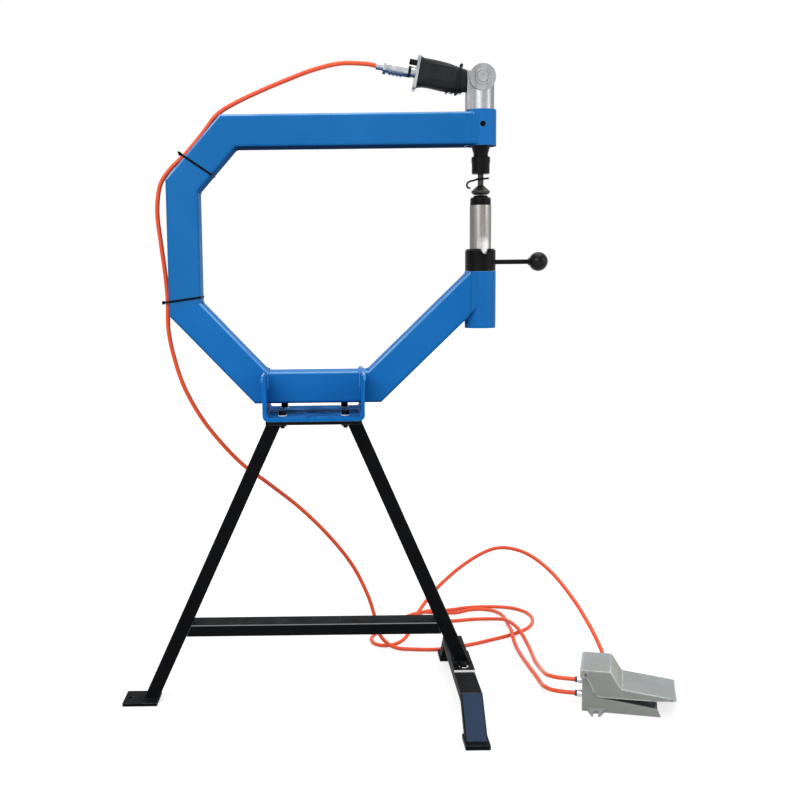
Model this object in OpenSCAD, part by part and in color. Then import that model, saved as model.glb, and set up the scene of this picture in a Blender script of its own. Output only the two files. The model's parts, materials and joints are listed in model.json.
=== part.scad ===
// Pneumatic planishing hammer on a floor stand.
// An air hammer and a cam-raised anvil post face each other across the throat of a C-frame welded
// from square tube. The frame sits in a saddle on a two-legged stand; a foot valve stands beside it.
// Millimetres, +Z up, +X towards the hammer, floor at Z = 0, origin under the middle of the whole.

/* [Frame] */
// Outside width of the square frame tube
tube_w = 57; // [52:0.5:60]
// Wall of the frame tube
tube_wall = 3; // [2:0.5:4]
// Outer corner radius of the frame tube
tube_r = 6; // [4:0.5:8]
// Throat depth, column inner face to hammer axis
throat = 498; // [470:1:540]
// Height from the base tube's middle to the arm's middle
frame_rise = 450; // [430:1:500]
// Length of the upper corner tube along the arm
upper_run = 82; // [70:1:95]
// Length of the upper corner tube along the column
upper_drop = 92; // [80:1:105]
// Length of the lower corner tube along the base
lower_run = 133; // [120:1:140]
// Length of the lower corner tube along the column
lower_rise = 141; // [130:1:150]
// Front end of the base tube, ahead of the saddle's middle
base_front = 109; // [104:1:120]
// Hammer axis, ahead of the saddle's middle
reach = 300; // [290:1:330]
// Height at which the front diagonal's middle line meets the hammer axis, above the base tube
front_rise = 184; // [170:1:195]

/* [Sockets] */
// Outside diameter of the hammer socket
hammer_socket_d = 54; // [48:0.5:60]
// Length of the hammer socket
hammer_socket_h = 62; // [58:1:70]
// Lift of the hammer socket's middle above the arm's middle
hammer_socket_lift = 2; // [0:0.5:4]
// Outside diameter of the post socket
post_socket_d = 55; // [50:0.5:60]
// Length of the post socket
post_socket_h = 101; // [90:1:115]
// Drop of the post socket's middle below the diagonal's middle line
post_socket_drop = 32; // [26:1:38]
// Diameter of the clamp screw in the hammer socket
clamp_screw_d = 10; // [8:0.5:12]
// Diameter of the key screw's dog in the post socket
key_screw_d = 8; // [6:0.5:10]

/* [Saddle] */
// Width of the saddle bracket
saddle_w = 178; // [170:1:186]
// Depth of the saddle bracket, front to back
saddle_d = 180; // [160:1:200]
// Height of the saddle bracket's walls
saddle_h = 79; // [70:1:82]
// Plate thickness of the saddle bracket
saddle_t = 6; // [4:0.5:7]
// Gap between the saddle's web and the base tube
saddle_gap = 18.5; // [16:0.5:24]
// Outer bend radius of the saddle bracket
saddle_bend_r = 10; // [8:0.5:14]
// Spacing of the saddle screws along the base tube
screw_pitch_x = 111; // [100:1:120]
// Spacing of the saddle screws front to back
screw_pitch_y = 112; // [96:1:130]
// Diameter of the saddle screws
screw_d = 8; // [6:0.5:10]

/* [Stand] */
// Height of the stand's top face
stand_h = 535; // [480:1:600]
// Width of the stand's top plate
top_plate_w = 168; // [160:1:176]
// Thickness of the stand's top plate
top_plate_t = 6; // [5:0.5:10]
// Width of the square leg tube
leg_w = 25; // [22:0.5:30]
// Wall of the leg tube
leg_wall = 2; // [1.5:0.5:3]
// Distance of a leg's upper end from the stand's middle
leg_top_x = 69; // [64:0.5:74]
// Distance of the left leg's lower end from the stand's middle
left_foot_x = 311; // [290:1:330]
// Distance of the cross foot from the stand's middle
cross_foot_x = 268; // [250:1:290]
// Height of the crossbar's middle
crossbar_z = 140; // [120:1:180]
// Height of the crossbar's section
crossbar_h = 22; // [18:0.5:26]
// Depth of the crossbar's section
crossbar_d = 50; // [40:1:60]
// Width of the left foot plate
foot_plate_w = 64; // [58:1:72]
// Depth of the left foot plate
foot_plate_d = 62; // [54:1:72]
// Thickness of the left foot plate
foot_plate_t = 6; // [4:0.5:8]
// Diameter of the floor bolt hole in the left foot plate
floor_hole_d = 10; // [8:0.5:13]
// Width of the cross foot's tube
cross_w = 38; // [34:0.5:42]
// Height of the cross foot's tube
cross_h = 20; // [16:0.5:24]
// Height of the cross foot's level top
cross_z = 66; // [58:1:76]
// Span of the cross foot from tip to tip, the depth of the whole stand
foot_span = 472; // [440:2:520]
// Run of each bent end of the cross foot
cross_bend_run = 45; // [36:1:55]
// Length of each foot plate under the cross foot's ends
end_plate_len = 50; // [44:1:56]
// Thickness of the foot plates under the cross foot's ends
end_plate_t = 8; // [6:0.5:10]
// Length of the flange under the right leg
leg_flange_len = 104; // [90:1:116]
// Thickness of the flange under the right leg
leg_flange_t = 4; // [3:0.5:6]

/* [Anvil] */
// Diameter of the anvil post
post_d = 38; // [34:0.5:42]
// Depth to which the post sits in its socket
post_seat = 75; // [60:1:82]
// Height of the anvil die's body
anvil_h = 14; // [10:0.5:20]
// Height of the anvil die's crown
crown_h = 3.6; // [2:0.2:6]
// Outside diameter of the cam collar
collar_d = 54; // [51:0.5:60]
// Height of the cam collar
collar_h = 39; // [37:0.5:48]
// Drop of the anvil when the lever is swung
anvil_drop = 12; // [6:0.5:12.5]
// Swing of the lever in degrees
lever_swing = 80; // [60:1:85]
// Diameter of the cross pin
cross_pin_d = 8; // [6:0.5:9]
// Diameter of the lever rod
lever_d = 8.4; // [7:0.2:10]
// Length of the lever rod outside the collar
lever_len = 68; // [50:1:90]
// Diameter of the ball knob
knob_d = 34; // [28:1:40]

/* [Hammer] */
// Outside diameter of the barrel
barrel_d = 34; // [31:0.5:38]
// Diameter of the piston bore
piston_d = 19; // [16:0.5:20]
// Length of the piston
piston_len = 42; // [32:1:46]
// Diameter of the die shank
shank_d = 10.2; // [9:0.1:12]
// Diameter of the hammer die's face
die_d = 33; // [28:0.5:38]
// Gap between the two dies at rest
die_gap = 1; // [0.6:0.1:3]
// Upward travel of the hammer die
die_travel = 6; // [3:0.5:6.5]
// Outside diameter of the die retainer
retainer_d = 33; // [30:0.5:36]
// Length of the die retainer
retainer_h = 30; // [27:0.5:36]
// Diameter of the head casting
head_d = 46; // [44:0.2:52]
// Height of the head casting above the socket
head_h = 77; // [72:1:88]
// Diameter of the round plug boss on the head
boss_d = 28; // [24:0.5:32]
// Height of the handle's root above the hammer socket's top
handle_z = 50.5; // [46:0.5:54]
// Upward tilt of the handle in degrees
handle_tilt = 10.7; // [6:0.1:14]
// Length of the grip
grip_len = 86; // [76:1:100]
// Height of the grip at its root
grip_root_h = 37; // [33:0.5:41]
// Height of the grip at its end plate
grip_end_h = 47; // [42:0.5:52]
// Width of the grip
grip_w = 38; // [34:0.5:44]
// Height of the handle's end plate
plate_h = 61; // [56:0.5:66]
// Thickness of the handle's end plate
plate_t = 4.5; // [3:0.5:6]
// Diameter of the regulator knob
regulator_d = 10; // [8:0.5:12]
// Diameter of the coupler's sliding sleeve
sleeve_d = 24; // [21:0.5:27]

/* [Foot valve] */
// Place of the valve's rear corner ahead of the saddle's middle
valve_ahead = 476; // [440:1:520]
// Place of the valve's rear corner in front of the frame's middle plane
valve_front = 77; // [40:1:110]
// Turn of the valve on the floor in degrees
valve_yaw = 15; // [0:1:30]
// Width of the treadle
treadle_w = 100; // [92:1:110]
// Length of the treadle
treadle_len = 167; // [155:1:180]
// Height of the treadle's hump
hump_h = 77; // [74:0.5:82]
// Length of the valve's base
valve_base_len = 137; // [128:1:142]
// Sheet thickness of the treadle
treadle_t = 2.5; // [2:0.25:3]
// Wall of the valve's base
valve_wall = 4; // [3:0.5:6]
// Diameter of the treadle's pivot pin
pivot_d = 6; // [5:0.5:7]
// Outside diameter of the push-in fittings
fitting_d = 13; // [11:0.5:15]

/* [Hoses] */
// Outside diameter of the air hoses
hose_d = 8; // [6:0.5:8]

/* [Hidden] */
// Overrun of every cut
over = 1;
// Radial running clearance of shafts and pins
run_fit = 0.06;
// Clearance between pieces that must not touch
clear = 0.3;
// Faces on round pieces
$fn = 96;
// Faces on the rounded ends of hulls
hull_fn = 32;

// Plan: everything is set out from the saddle's middle, then centred on the whole part
treadle_back = 4;
leg_drop_z = stand_h - top_plate_t;
right_leg_z = cross_z + leg_flange_t;
left_leg_slope = (left_foot_x - leg_top_x) / (leg_drop_z - foot_plate_t);
right_leg_slope = (cross_foot_x - leg_top_x) / (leg_drop_z - right_leg_z);
left_edge = -left_foot_x + leg_half(left_leg_slope) - foot_plate_w;
valve_tip_x = valve_ahead + (treadle_len - treadle_back) * cos(valve_yaw) + treadle_w * sin(valve_yaw);
saddle_x = -(left_edge + valve_tip_x) / 2;
axis_x = saddle_x + reach;

// Heights of the frame
tube_h = tube_w / 2;
base_z = stand_h + saddle_t + saddle_gap + tube_h;
arm_z = base_z + frame_rise;
column_x = axis_x - throat - tube_h;

// Corners of the frame's middle line, as [x, z]
p_arm = [column_x + upper_run, arm_z];
p_upper = [column_x, arm_z - upper_drop];
p_lower = [column_x, base_z + lower_rise];
p_back = [column_x + lower_run, base_z];
p_front = [saddle_x + base_front, base_z];
p_post = [axis_x, base_z + front_rise];
// How far the tube's cheeks reach round the sockets
cheek = 7;
arm_end = [axis_x - hammer_socket_d / 2 + cheek, arm_z];
diagonal_end_x = axis_x - post_socket_d / 2 + cheek;
diagonal_end = p_front + (p_post - p_front) * (diagonal_end_x - p_front[0]) / (p_post[0] - p_front[0]);

// Hammer socket and hammer
socket_top = arm_z + hammer_socket_lift + hammer_socket_h / 2;
socket_bottom = socket_top - hammer_socket_h;
barrel_cone_h = 13;
barrel_nose_d = 25.6;
barrel_nose_len = 23;
nose_z = socket_bottom - barrel_cone_h - barrel_nose_len;
barrel_rise = 52;
shank_guide = 27;
barrel_top = socket_top + barrel_rise;
bore_floor = nose_z + shank_guide;
retainer_lip = 3;
retainer_drop = 12;
retainer_bottom = nose_z - retainer_drop;
bead_h = 2.2;
bead_d = 17;
bead_z = retainer_bottom + retainer_lip + clear;
shank_free = 36;
die_face_z = retainer_bottom - shank_free;
die_disc_h = 6;
die_cone_h = 10.5;
shank_top = bore_floor + over;
piston_z = shank_top + die_travel + clear;
clamp_lift = 7;
clamp_hole_z = arm_z + clamp_lift;
clamp_recess = 3;
// Head casting: valve chest across the top, its plug, and the handle's flange
chest_z = socket_top + head_h - head_d / 2;
chest_proud = 1.5;
plug_seat = 3;
plug_groove = 1.2;
plug_hub_share = 0.64;
flange_share = 0.72;
flange_h = 66;
barrel_step = 0.5;
clip_wire_d = 2.2;
clip_drop = 9;
// The wire clip's tail, as shares of its ring's radius
clip_shares = [[2.2, -1, 0.16], [1, -1, 0.08], [0, -1, 0], [-1, -1, -0.08], [-2.1, -1, -0.4],
  [-3.2, -0.8, -0.65], [-3.85, -0.65, -1.1], [-4, -0.65, -1.75], [-3.7, -0.65, -2.4], [-2.9, -0.65, -2.5]];
bead_room = 1.6;

// Anvil stack, hung from the hammer die so that the dies always face each other
anvil_top = die_face_z - die_gap;
post_top = anvil_top - crown_h - anvil_h;
post_socket_z = base_z + front_rise - post_socket_drop;
post_socket_top = post_socket_z + post_socket_h / 2;
post_bottom = post_socket_top - post_seat;
collar_z = post_socket_top + clear;
anvil_step = 1.5;
anvil_d = post_d - anvil_step;
crown_d = 27;
spigot_d = 12;
spigot_h = 16;
// Cam groove inside the collar
pin_proud = 4;
pin_end_r = post_d / 2 + pin_proud;
groove_r = norm([pin_end_r, cross_pin_d / 2]) + clear;
groove_half = cross_pin_d / 2 + 3 * clear;
groove_floor = 3.2;
pin_z = collar_z + groove_half + anvil_drop + groove_floor;
// Direction of the cross pin in plan, in degrees from +X
pin_turn = -50;
groove_margin = 13;
half_turn = 180;
groove_steps = 24;
groove_step_z = anvil_drop / lever_swing;
lever_lift = 15.5;
lever_z = collar_z + lever_lift;
lever_seat = 3;
notch_r = 10;
notch_turn = -73;
collar_chamfer = 3;
key_drop = 8;
key_z = post_socket_z - key_drop;
key_depth = 4;
key_len = 40;

// Handle, laid out along its own axis: x runs from the root (0) to the free end (negative)
root_gap = 3;
root_lap = 6;
handle_x = axis_x - head_d / 2 - root_gap;
handle_root_z = socket_top + handle_z;
plate_x = -grip_len - plate_t;
plate_w = 42;
plate_sag = 1.5;
plate_low = -plate_h / 2 - plate_sag;
core_w = 22;
core_h = 24;
inlet_z = -2;
inlet_len = 8;
inlet_d = 18;
ring_len = 5;
ring_d = 20;
hex_len = 8;
coupler_len = 36;
coupler_body_d = 19;
tail_len = 13;
tail_d = 13;
regulator_len = 13;
regulator_z = 15.5;
sleeve_travel = 4;
ridge_share = 0.25;
plug_reach = 14;
sleeve_len = 26;
trigger_pivot_x = -5;
trigger_pivot_z = -14;
trigger_depth = 14;
trigger_low = trigger_pivot_z - trigger_depth;
trigger_rise = trigger_depth / 3;
trigger_len = 28;
trigger_w = 14;
trigger_pin_d = 3;
trigger_pin_len = 22;
trigger_slot_len = 36;
slot_share = 0.72;
trigger_eye_share = 2.4;
tie_x = -14;
tie_low = 25.6;
tie_top_share = 0.54;
tie_round_share = 0.7;
tie_head_share = 0.6;
flute_r = 0.8;
flute_out = 0.3;
flute_from = 2;
nipple_share = 0.7;
hex_d_share = 1.1;
bore_share = 0.25;

// Stand
cross_x = saddle_x + cross_foot_x;
leg_r = 3;
crossbar_r = 3;
plate_lap = 6;
plate_edge = 2;
cross_tip = foot_span / 2 - end_plate_len + plate_lap;
cross_level = cross_tip - cross_bend_run;

// Foot valve, laid out along its own axes: x from its rear corner to its toe, y across
hump_len = 52;
toe_z = 36;
instep_x = 70;
instep_z = 47;
pivot_x = 6;
pivot_drop = 9;
pivot_z = hump_h - pivot_drop;
ear_r = 5;
base_gap = 0.5;
base_side = treadle_t + base_gap;
heel_drop = 19;
base_heel_z = hump_h - heel_drop;
base_toe_z = 14;
spool_x = 34;
spool_d = 9;
spool_tip_r = 5;
spool_bottom = 12;
pivot_proud = 2;
edge_cut = 3;
toe_lip = 4;
base_toe_lean = 6;
base_heel_x = 12;
fitting_seat_share = 0.6;
// Corners of the base's side walls and of the treadle's skirts, as [along, up]
base_knee = [36, 26];
base_bend = [27, 30];
base_rise = [17, 40];
skirt_toe = [130, 29];
skirt_knee = [37, 28];
skirt_bend = [28, 29];
skirt_rise = [20, 36];
skirt_heel = [13, 54];
block_h = 48;
block_w = 40;
block_len = 40;
lug_len = 30;
lug_reach = 24;
lug_t = 6;
lug_x = 10;
lug_slot_d = 9;
lug_taper = 8;
fitting_y = 45;
fitting_high_z = 42;
fitting_low_z = 16;
fitting_len = 10;
ring_short = 4;
collet_d = 11;
spring_r = 8;
spring_wire_r = 0.8;
spring_turns = 5;
spring_rings = 8;
spring_sides = 6;
spring_bottom = valve_wall + block_h + spring_wire_r + clear;
spring_top = hump_h - treadle_t - spring_wire_r - clear;

// Hoses: round-number points chosen by hand along each route
hose_sides = 8;
hammer_route = [
  [-30, 0, 1149], [-52, 0, 1153], [-96, 0, 1154], [-142, 0, 1144], [-190, 0, 1127], [-240, 0, 1107],
  [-284, 0, 1087], [-313, 0, 1069], [-340, 0, 1036], [-371, 0, 1001], [-396, 0, 978], [-414, 0, 954],
  [-421, 0, 928], [-423, 0, 895], [-418, 0, 845], [-412, 0, 790], [-409, 0, 746], [-409, 0, 690],
  [-399, 3, 635], [-383, 12, 582], [-349, 32, 515], [-292, 62, 440], [-237, 90, 390], [-180, 125, 335],
  [-123, 160, 268], [-78, 195, 200], [-47, 222, 130], [-32, 240, 78], [-20, 249, 34], [8, 252, 8.5],
  [50, 248, 4.5], [105, 247, 4.5], [165, 270, 4.5], [222, 303, 4.5], [276, 340, 4.5], [314, 382, 4.5],
  [332, 434, 4.5], [327, 488, 4.5], [298, 523, 4.5], [250, 535, 4.5], [198, 530, 4.5], [150, 513, 4.5],
  [108, 510, 4.5], [86, 495, 4.5], [78, 469, 4.5], [88, 444, 4.5], [112, 431, 4.5], [154, 433, 4.5],
  [202, 443, 4.5], [238, 436, 7], [264, 408, 14], [279, 370, 15], [287, 325, 12], [291, 280, 6],
  [291, 230, 4.5], [288, 170, 6], [286, 110, 14], [281, 58, 27], [279, 12, 37], [284, -6, 40],
  [296, -19, 41.5], [318, -28, 42], [330, -31, 42]];
supply_route = [
  [330, -31, 16], [318, -28, 16], [298, -20, 15.5], [285, -7, 14], [277, 14, 12], [277, 45, 6],
  [275, 90, 4.5], [270, 150, 4.5], [266, 215, 4.5], [265, 270, 6], [266, 310, 12], [268, 345, 14],
  [271, 385, 6], [272, 432, 4.5], [269, 470, 4.5], [256, 500, 4.5], [230, 516, 4.5], [200, 513, 4.5],
  [168, 492, 5], [125, 474, 10], [85, 468, 14.5], [45, 450, 9], [8, 414, 4.5], [-20, 365, 4.5],
  [-36, 321, 5], [-34, 293, 4.5], [-18, 274, 5], [7, 268, 8], [30, 277, 16], [46, 299, 30],
  [57, 319, 48], [86, 348, 80], [122, 370, 112], [176, 384, 152], [228, 386, 180], [264, 378, 186],
  [306, 350, 178], [346, 300, 152], [379, 230, 112], [398, 162, 76], [406, 106, 50], [410, 79, 30],
  [423, 62, 17], [437, 54, 10.5], [458, 51, 7.5], [472, 51, 7]];
// Cable ties on the frame: strap sizes, places along their tubes, and the hose's stand-off there
strap_w = 3;
strap_t = 1.2;
strap_head = 6;
corner_tie_share = 0.36;
column_tie_share = 0.08;
hose_off_corner = 4.6;
hose_off_column = 5;
plug_d = 13;
plug_len = 34;
// Outline of the supply plug, as shares of its radius and length
plug_shares = [[0, 0], [1, 0], [1, 0.33], [0.8, 0.33], [0.8, 0.5], [1, 0.5], [1, 0.6], [0.7, 0.62],
  [0.7, 0.75], [0.5, 0.78], [0.5, 0.85], [0.7, 0.88], [0.6, 1], [0, 1]];

// Standard proportions of screws, as shares of their diameter
head_share = 1.6;
washer_share = 0.2;
washer_d_share = 2;
hex_share = 0.85;
nut_share = 1.85;
nut_h_share = 0.8;
low_head_share = 1.4;
low_head_h_share = 0.7;
tail_share = 1.25;
saddle_washer_t = screw_d * washer_share;

// Colours
blue = "steelblue";
black = "#222326";
silver = "silver";
grey = "#8d9296";
orange = "#d8452f";

// Geometry helpers
function unit(v) = v / norm(v);
function left_of(v) = [-v[1], v[0]];
// Half width of a mitre cut at b between runs a-b and b-c
function mitre(a, b, c) =
  let (n1 = left_of(unit(b - a)), n2 = left_of(unit(c - b)))
  (n1 + n2) * tube_h / (1 + n1 * n2);

module square_round(size_x, size_y, r) {
  square([size_x - 2 * r, size_y], center = true);
  square([size_x, size_y - 2 * r], center = true);
  for (sx = [-1, 1], sy = [-1, 1])
    translate([sx * (size_x / 2 - r), sy * (size_y / 2 - r)]) circle(r);
}

// Hollow section of a tube with rounded corners
module tube_section(size_x, size_y, r, wall) {
  difference() {
    square_round(size_x, size_y, r);
    square_round(size_x - 2 * wall, size_y - 2 * wall, max(r - wall, wall / 2));
  }
}

// Extrudes an outline drawn in X and Z, symmetric front to back
module upright(depth) {
  rotate([90, 0, 0]) linear_extrude(depth, center = true) children();
}

// Turns a cut to face the left of the run from b to c
function facing(cut, b, c) = cut * left_of(c - b) < 0 ? -cut : cut;

// A length of hollow section from b to c in the X-Z plane, cut on the lines cut_b and cut_c
module run_between(b, c, cut_b, cut_c, size_x, size_y, r, wall) {
  lean = atan2(c[0] - b[0], c[1] - b[1]);
  spare = size_x + size_y;
  stretch = 2;
  cut_1 = facing(cut_b, b, c) * stretch;
  cut_2 = facing(cut_c, b, c) * stretch;
  intersection() {
    translate([b[0], 0, b[1]]) rotate([0, lean, 0]) translate([0, 0, -spare])
      linear_extrude(norm(c - b) + 2 * spare) tube_section(size_x, size_y, r, wall);
    upright(2 * size_y)
      polygon([b + cut_1, c + cut_2, c - cut_2, b - cut_1]);
  }
}

module frame_run(b, c, cut_b, cut_c) {
  run_between(b, c, cut_b, cut_c, tube_w, tube_w, tube_r, tube_wall);
}

// Tube swept along a list of points, closed at both ends
function path_dir(p, i) = unit(p[min(i + 1, len(p) - 1)] - p[max(i - 1, 0)]);
function side_of(d) = unit(cross(d, abs(d[2]) > 0.9 ? [0, 1, 0] : [0, 0, 1]));
// Carries the first side direction along the path without twisting it
function carry(u, d) = unit(u - (u * d) * d);
function sides_along(p, i = 0, u = [0, 0, 1]) =
  i == len(p) ? [] :
  let (d = path_dir(p, i), v = i == 0 ? side_of(d) : carry(u, d))
  concat([v], sides_along(p, i + 1, v));
function ring_at(p, i, u, r, sides) =
  let (v = cross(u, path_dir(p, i)))
  [for (k = [0 : sides - 1]) p[i] + r * (cos(360 * k / sides) * u + sin(360 * k / sides) * v)];
module swept_tube(p, r, sides) {
  last = (len(p) - 1) * sides;
  us = sides_along(p);
  points = [for (i = [0 : len(p) - 1]) each ring_at(p, i, us[i], r, sides)];
  walls = [for (i = [0 : len(p) - 2], k = [0 : sides - 1])
    let (a = i * sides + k, b = i * sides + (k + 1) % sides)
    each [[a, b, a + sides], [b, b + sides, a + sides]]];
  start = [for (k = [1 : sides - 2]) [0, k + 1, k]];
  finish = [for (k = [1 : sides - 2]) [last, last + k, last + k + 1]];
  polyhedron(points, concat(walls, start, finish));
}

module on_axis(z) {
  translate([axis_x, 0, z]) children();
}

module in_handle() {
  translate([handle_x, 0, handle_root_z]) rotate([0, handle_tilt, 0]) children();
}

// A round along the handle, from x towards the free end
module handle_round(x, z, d, length) {
  translate([x, 0, z]) rotate([0, -90, 0]) cylinder(d = d, h = length);
}

module at_valve() {
  translate([saddle_x + valve_ahead, -valve_front, 0]) rotate([0, 0, -valve_yaw]) children();
}

// Extrudes an outline drawn along and above the valve, from y across to y + width
module valve_side(y, width) {
  translate([0, y + width, 0]) rotate([90, 0, 0]) linear_extrude(width) children();
}

// C-frame
cut_arm = mitre(p_upper, p_arm, arm_end);
cut_upper = mitre(p_lower, p_upper, p_arm);
cut_lower = mitre(p_back, p_lower, p_upper);
cut_back = mitre(p_front, p_back, p_lower);
cut_front = mitre(p_back, p_front, p_post);
square_cut = [0, tube_w];

module upper_arm_tube() {
  color(blue) difference() {
    frame_run(p_arm, arm_end, cut_arm, square_cut);
    on_axis(socket_bottom - over) cylinder(d = hammer_socket_d, h = hammer_socket_h + 2 * over);
  }
}

module upper_corner_tube() {
  color(blue) frame_run(p_upper, p_arm, cut_upper, cut_arm);
}

module column_tube() {
  color(blue) frame_run(p_lower, p_upper, cut_lower, cut_upper);
}

module lower_corner_tube() {
  color(blue) frame_run(p_back, p_lower, cut_back, cut_lower);
}

module base_tube() {
  color(blue) frame_run(p_back, p_front, cut_back, cut_front);
}

module front_diagonal_tube() {
  color(blue) difference() {
    frame_run(p_front, diagonal_end, cut_front, square_cut);
    on_axis(post_socket_top - post_socket_h - over)
      cylinder(d = post_socket_d, h = post_socket_h + 2 * over);
    // trimmed level with the socket's top, where the collar turns
    on_axis(post_socket_top) translate([-tube_w, -tube_w, 0]) cube(2 * tube_w);
  }
}

module hammer_socket() {
  color(blue) difference() {
    on_axis(socket_bottom) cylinder(d = hammer_socket_d, h = hammer_socket_h);
    on_axis(socket_bottom - over) cylinder(d = barrel_d + 2 * run_fit, h = hammer_socket_h + 2 * over);
    on_axis(clamp_hole_z) rotate([90, 0, 0]) cylinder(d = clamp_screw_d, h = hammer_socket_d);
  }
}

module clamp_screw() {
  tip = barrel_d / 2 + run_fit;
  hex_d = clamp_screw_d / 2;
  length = hammer_socket_d / 2 - clamp_recess - tip;
  color(black) on_axis(clamp_hole_z) rotate([90, 0, 0]) translate([0, 0, tip]) difference() {
    cylinder(d = clamp_screw_d - 2 * run_fit, h = length);
    translate([0, 0, length / 2]) cylinder(d = hex_d, h = length, $fn = 6);
  }
}

module post_socket() {
  color(blue) difference() {
    on_axis(post_socket_top - post_socket_h) cylinder(d = post_socket_d, h = post_socket_h);
    on_axis(post_socket_top - post_socket_h - over)
      cylinder(d = post_d + 2 * run_fit, h = post_socket_h + 2 * over);
    on_axis(key_z) rotate([-90, 0, 0]) cylinder(d = key_screw_d + 2 * run_fit, h = post_socket_d);
  }
}

// Dog screw from behind that keeps the post from turning
module key_screw() {
  cap_d = key_screw_d * head_share;
  tip = post_d / 2 - key_depth + clear;
  color(black) on_axis(key_z) rotate([-90, 0, 0]) {
    translate([0, 0, tip]) cylinder(d = key_screw_d, h = post_socket_d / 2 - tip);
    translate([0, 0, post_socket_d / 2]) cylinder(d = cap_d, h = key_screw_d / 2, $fn = 6);
  }
}

// Saddle
module saddle_bracket() {
  inner_r = saddle_bend_r - saddle_t;
  wall_top = stand_h + saddle_h;
  color(blue) difference() {
    translate([saddle_x, 0, 0]) upright(saddle_d) difference() {
      union() {
        translate([-saddle_w / 2, stand_h + saddle_bend_r]) square([saddle_w, saddle_h - saddle_bend_r]);
        translate([-saddle_w / 2 + saddle_bend_r, stand_h]) square([saddle_w - 2 * saddle_bend_r, saddle_h]);
        for (s = [-1, 1])
          translate([s * (saddle_w / 2 - saddle_bend_r), stand_h + saddle_bend_r]) circle(saddle_bend_r);
      }
      translate([-saddle_w / 2 + saddle_t, stand_h + saddle_bend_r])
        square([saddle_w - 2 * saddle_t, saddle_h]);
      translate([-saddle_w / 2 + saddle_bend_r, stand_h + saddle_t])
        square([saddle_w - 2 * saddle_bend_r, saddle_h]);
      for (s = [-1, 1])
        translate([s * (saddle_w / 2 - saddle_bend_r), stand_h + saddle_bend_r]) circle(inner_r);
    }
    // slots in both walls that the base tube drops into
    translate([saddle_x - saddle_w, -tube_h, base_z - tube_h]) cube([2 * saddle_w, tube_w, 2 * saddle_h]);
    for_screws() translate([0, 0, stand_h - over]) cylinder(d = screw_d + clear, h = saddle_t + 2 * over);
    // relief where the lower corner tube leans against the rear wall's slot
    translate([saddle_x - saddle_w, -tube_h, wall_top]) cube([2 * saddle_w, tube_w, saddle_h]);
  }
}

module for_screws() {
  for (sx = [-1, 1], sy = [-1, 1])
    translate([saddle_x + sx * screw_pitch_x / 2, sy * screw_pitch_y / 2, 0]) children();
}

module saddle_screws() {
  head_z = stand_h + saddle_t + saddle_washer_t;
  length = saddle_t + saddle_washer_t + top_plate_t + screw_d * tail_share;
  color(black) for_screws() translate([0, 0, head_z]) difference() {
    union() {
      translate([0, 0, -length]) cylinder(d = screw_d, h = length);
      cylinder(d = screw_d * head_share, h = screw_d);
    }
    translate([0, 0, screw_d / 2]) cylinder(d = screw_d * hex_share, h = screw_d, $fn = 6);
  }
}

module saddle_washers() {
  color(silver) for_screws() translate([0, 0, stand_h + saddle_t]) difference() {
    cylinder(d = screw_d * washer_d_share, h = saddle_washer_t);
    translate([0, 0, -over]) cylinder(d = screw_d + clear, h = saddle_washer_t + 2 * over);
  }
}

module saddle_nuts() {
  nut_h = screw_d * nut_h_share;
  color(black) for_screws() translate([0, 0, leg_drop_z - nut_h]) difference() {
    cylinder(d = screw_d * nut_share, h = nut_h, $fn = 6);
    translate([0, 0, -over]) cylinder(d = screw_d + clear, h = nut_h + 2 * over);
  }
}

// Stand
module stand_top_plate() {
  color(black) difference() {
    translate([saddle_x - top_plate_w / 2, -saddle_d / 2, leg_drop_z])
      cube([top_plate_w, saddle_d, top_plate_t]);
    for_screws() translate([0, 0, leg_drop_z - over])
      cylinder(d = screw_d + clear, h = top_plate_t + 2 * over);
  }
}

// A leg from its foot to the top plate, with level cuts at both ends
module leg(foot, side) {
  level_cut = [leg_w, 0];
  head = [saddle_x + side * leg_top_x, leg_drop_z];
  run_between(foot, head, level_cut, level_cut, leg_w, leg_w, leg_r, leg_wall);
}

module left_leg() {
  color(black) leg([saddle_x - left_foot_x, foot_plate_t], -1);
}

module right_leg() {
  color(black) leg([cross_x, right_leg_z], 1);
}

// Half width of a leg measured level
function leg_half(slope) = leg_w / 2 * sqrt(1 + slope * slope);

module crossbar() {
  left_x = saddle_x - leg_top_x - left_leg_slope * (leg_drop_z - crossbar_z) + leg_half(left_leg_slope);
  right_x = saddle_x + leg_top_x + right_leg_slope * (leg_drop_z - crossbar_z) - leg_half(right_leg_slope);
  // the ends follow the lean of the legs
  left_cut = [left_leg_slope * crossbar_h, crossbar_h];
  right_cut = [-right_leg_slope * crossbar_h, crossbar_h];
  color(black) run_between([left_x, crossbar_z], [right_x, crossbar_z], left_cut, right_cut,
    crossbar_h, crossbar_d, crossbar_r, leg_wall);
}

module left_foot_plate() {
  inner_x = saddle_x - left_foot_x + leg_half(left_leg_slope);
  hole_inset = floor_hole_d;
  color(black) difference() {
    translate([inner_x - foot_plate_w, -foot_plate_d / 2, 0])
      cube([foot_plate_w, foot_plate_d, foot_plate_t]);
    translate([inner_x - foot_plate_w + hole_inset, 0, -over])
      cylinder(d = floor_hole_d, h = foot_plate_t + 2 * over);
  }
}

// Cross foot: its middle line in Y and Z is turned into the X-Z plane and back
foot_mid = cross_z - cross_h / 2;
foot_drop = [cross_tip, end_plate_t + cross_h / 2];
foot_turn = [cross_level, foot_mid];
function foot_mitre() =
  let (n1 = [0, 1], n2 = left_of(unit(foot_drop - foot_turn)))
  (n1 + n2) * cross_h / 2 / (1 + n1 * n2);

module across(side) {
  translate([cross_x, 0, 0]) rotate([0, 0, side * 90]) children();
}

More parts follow.
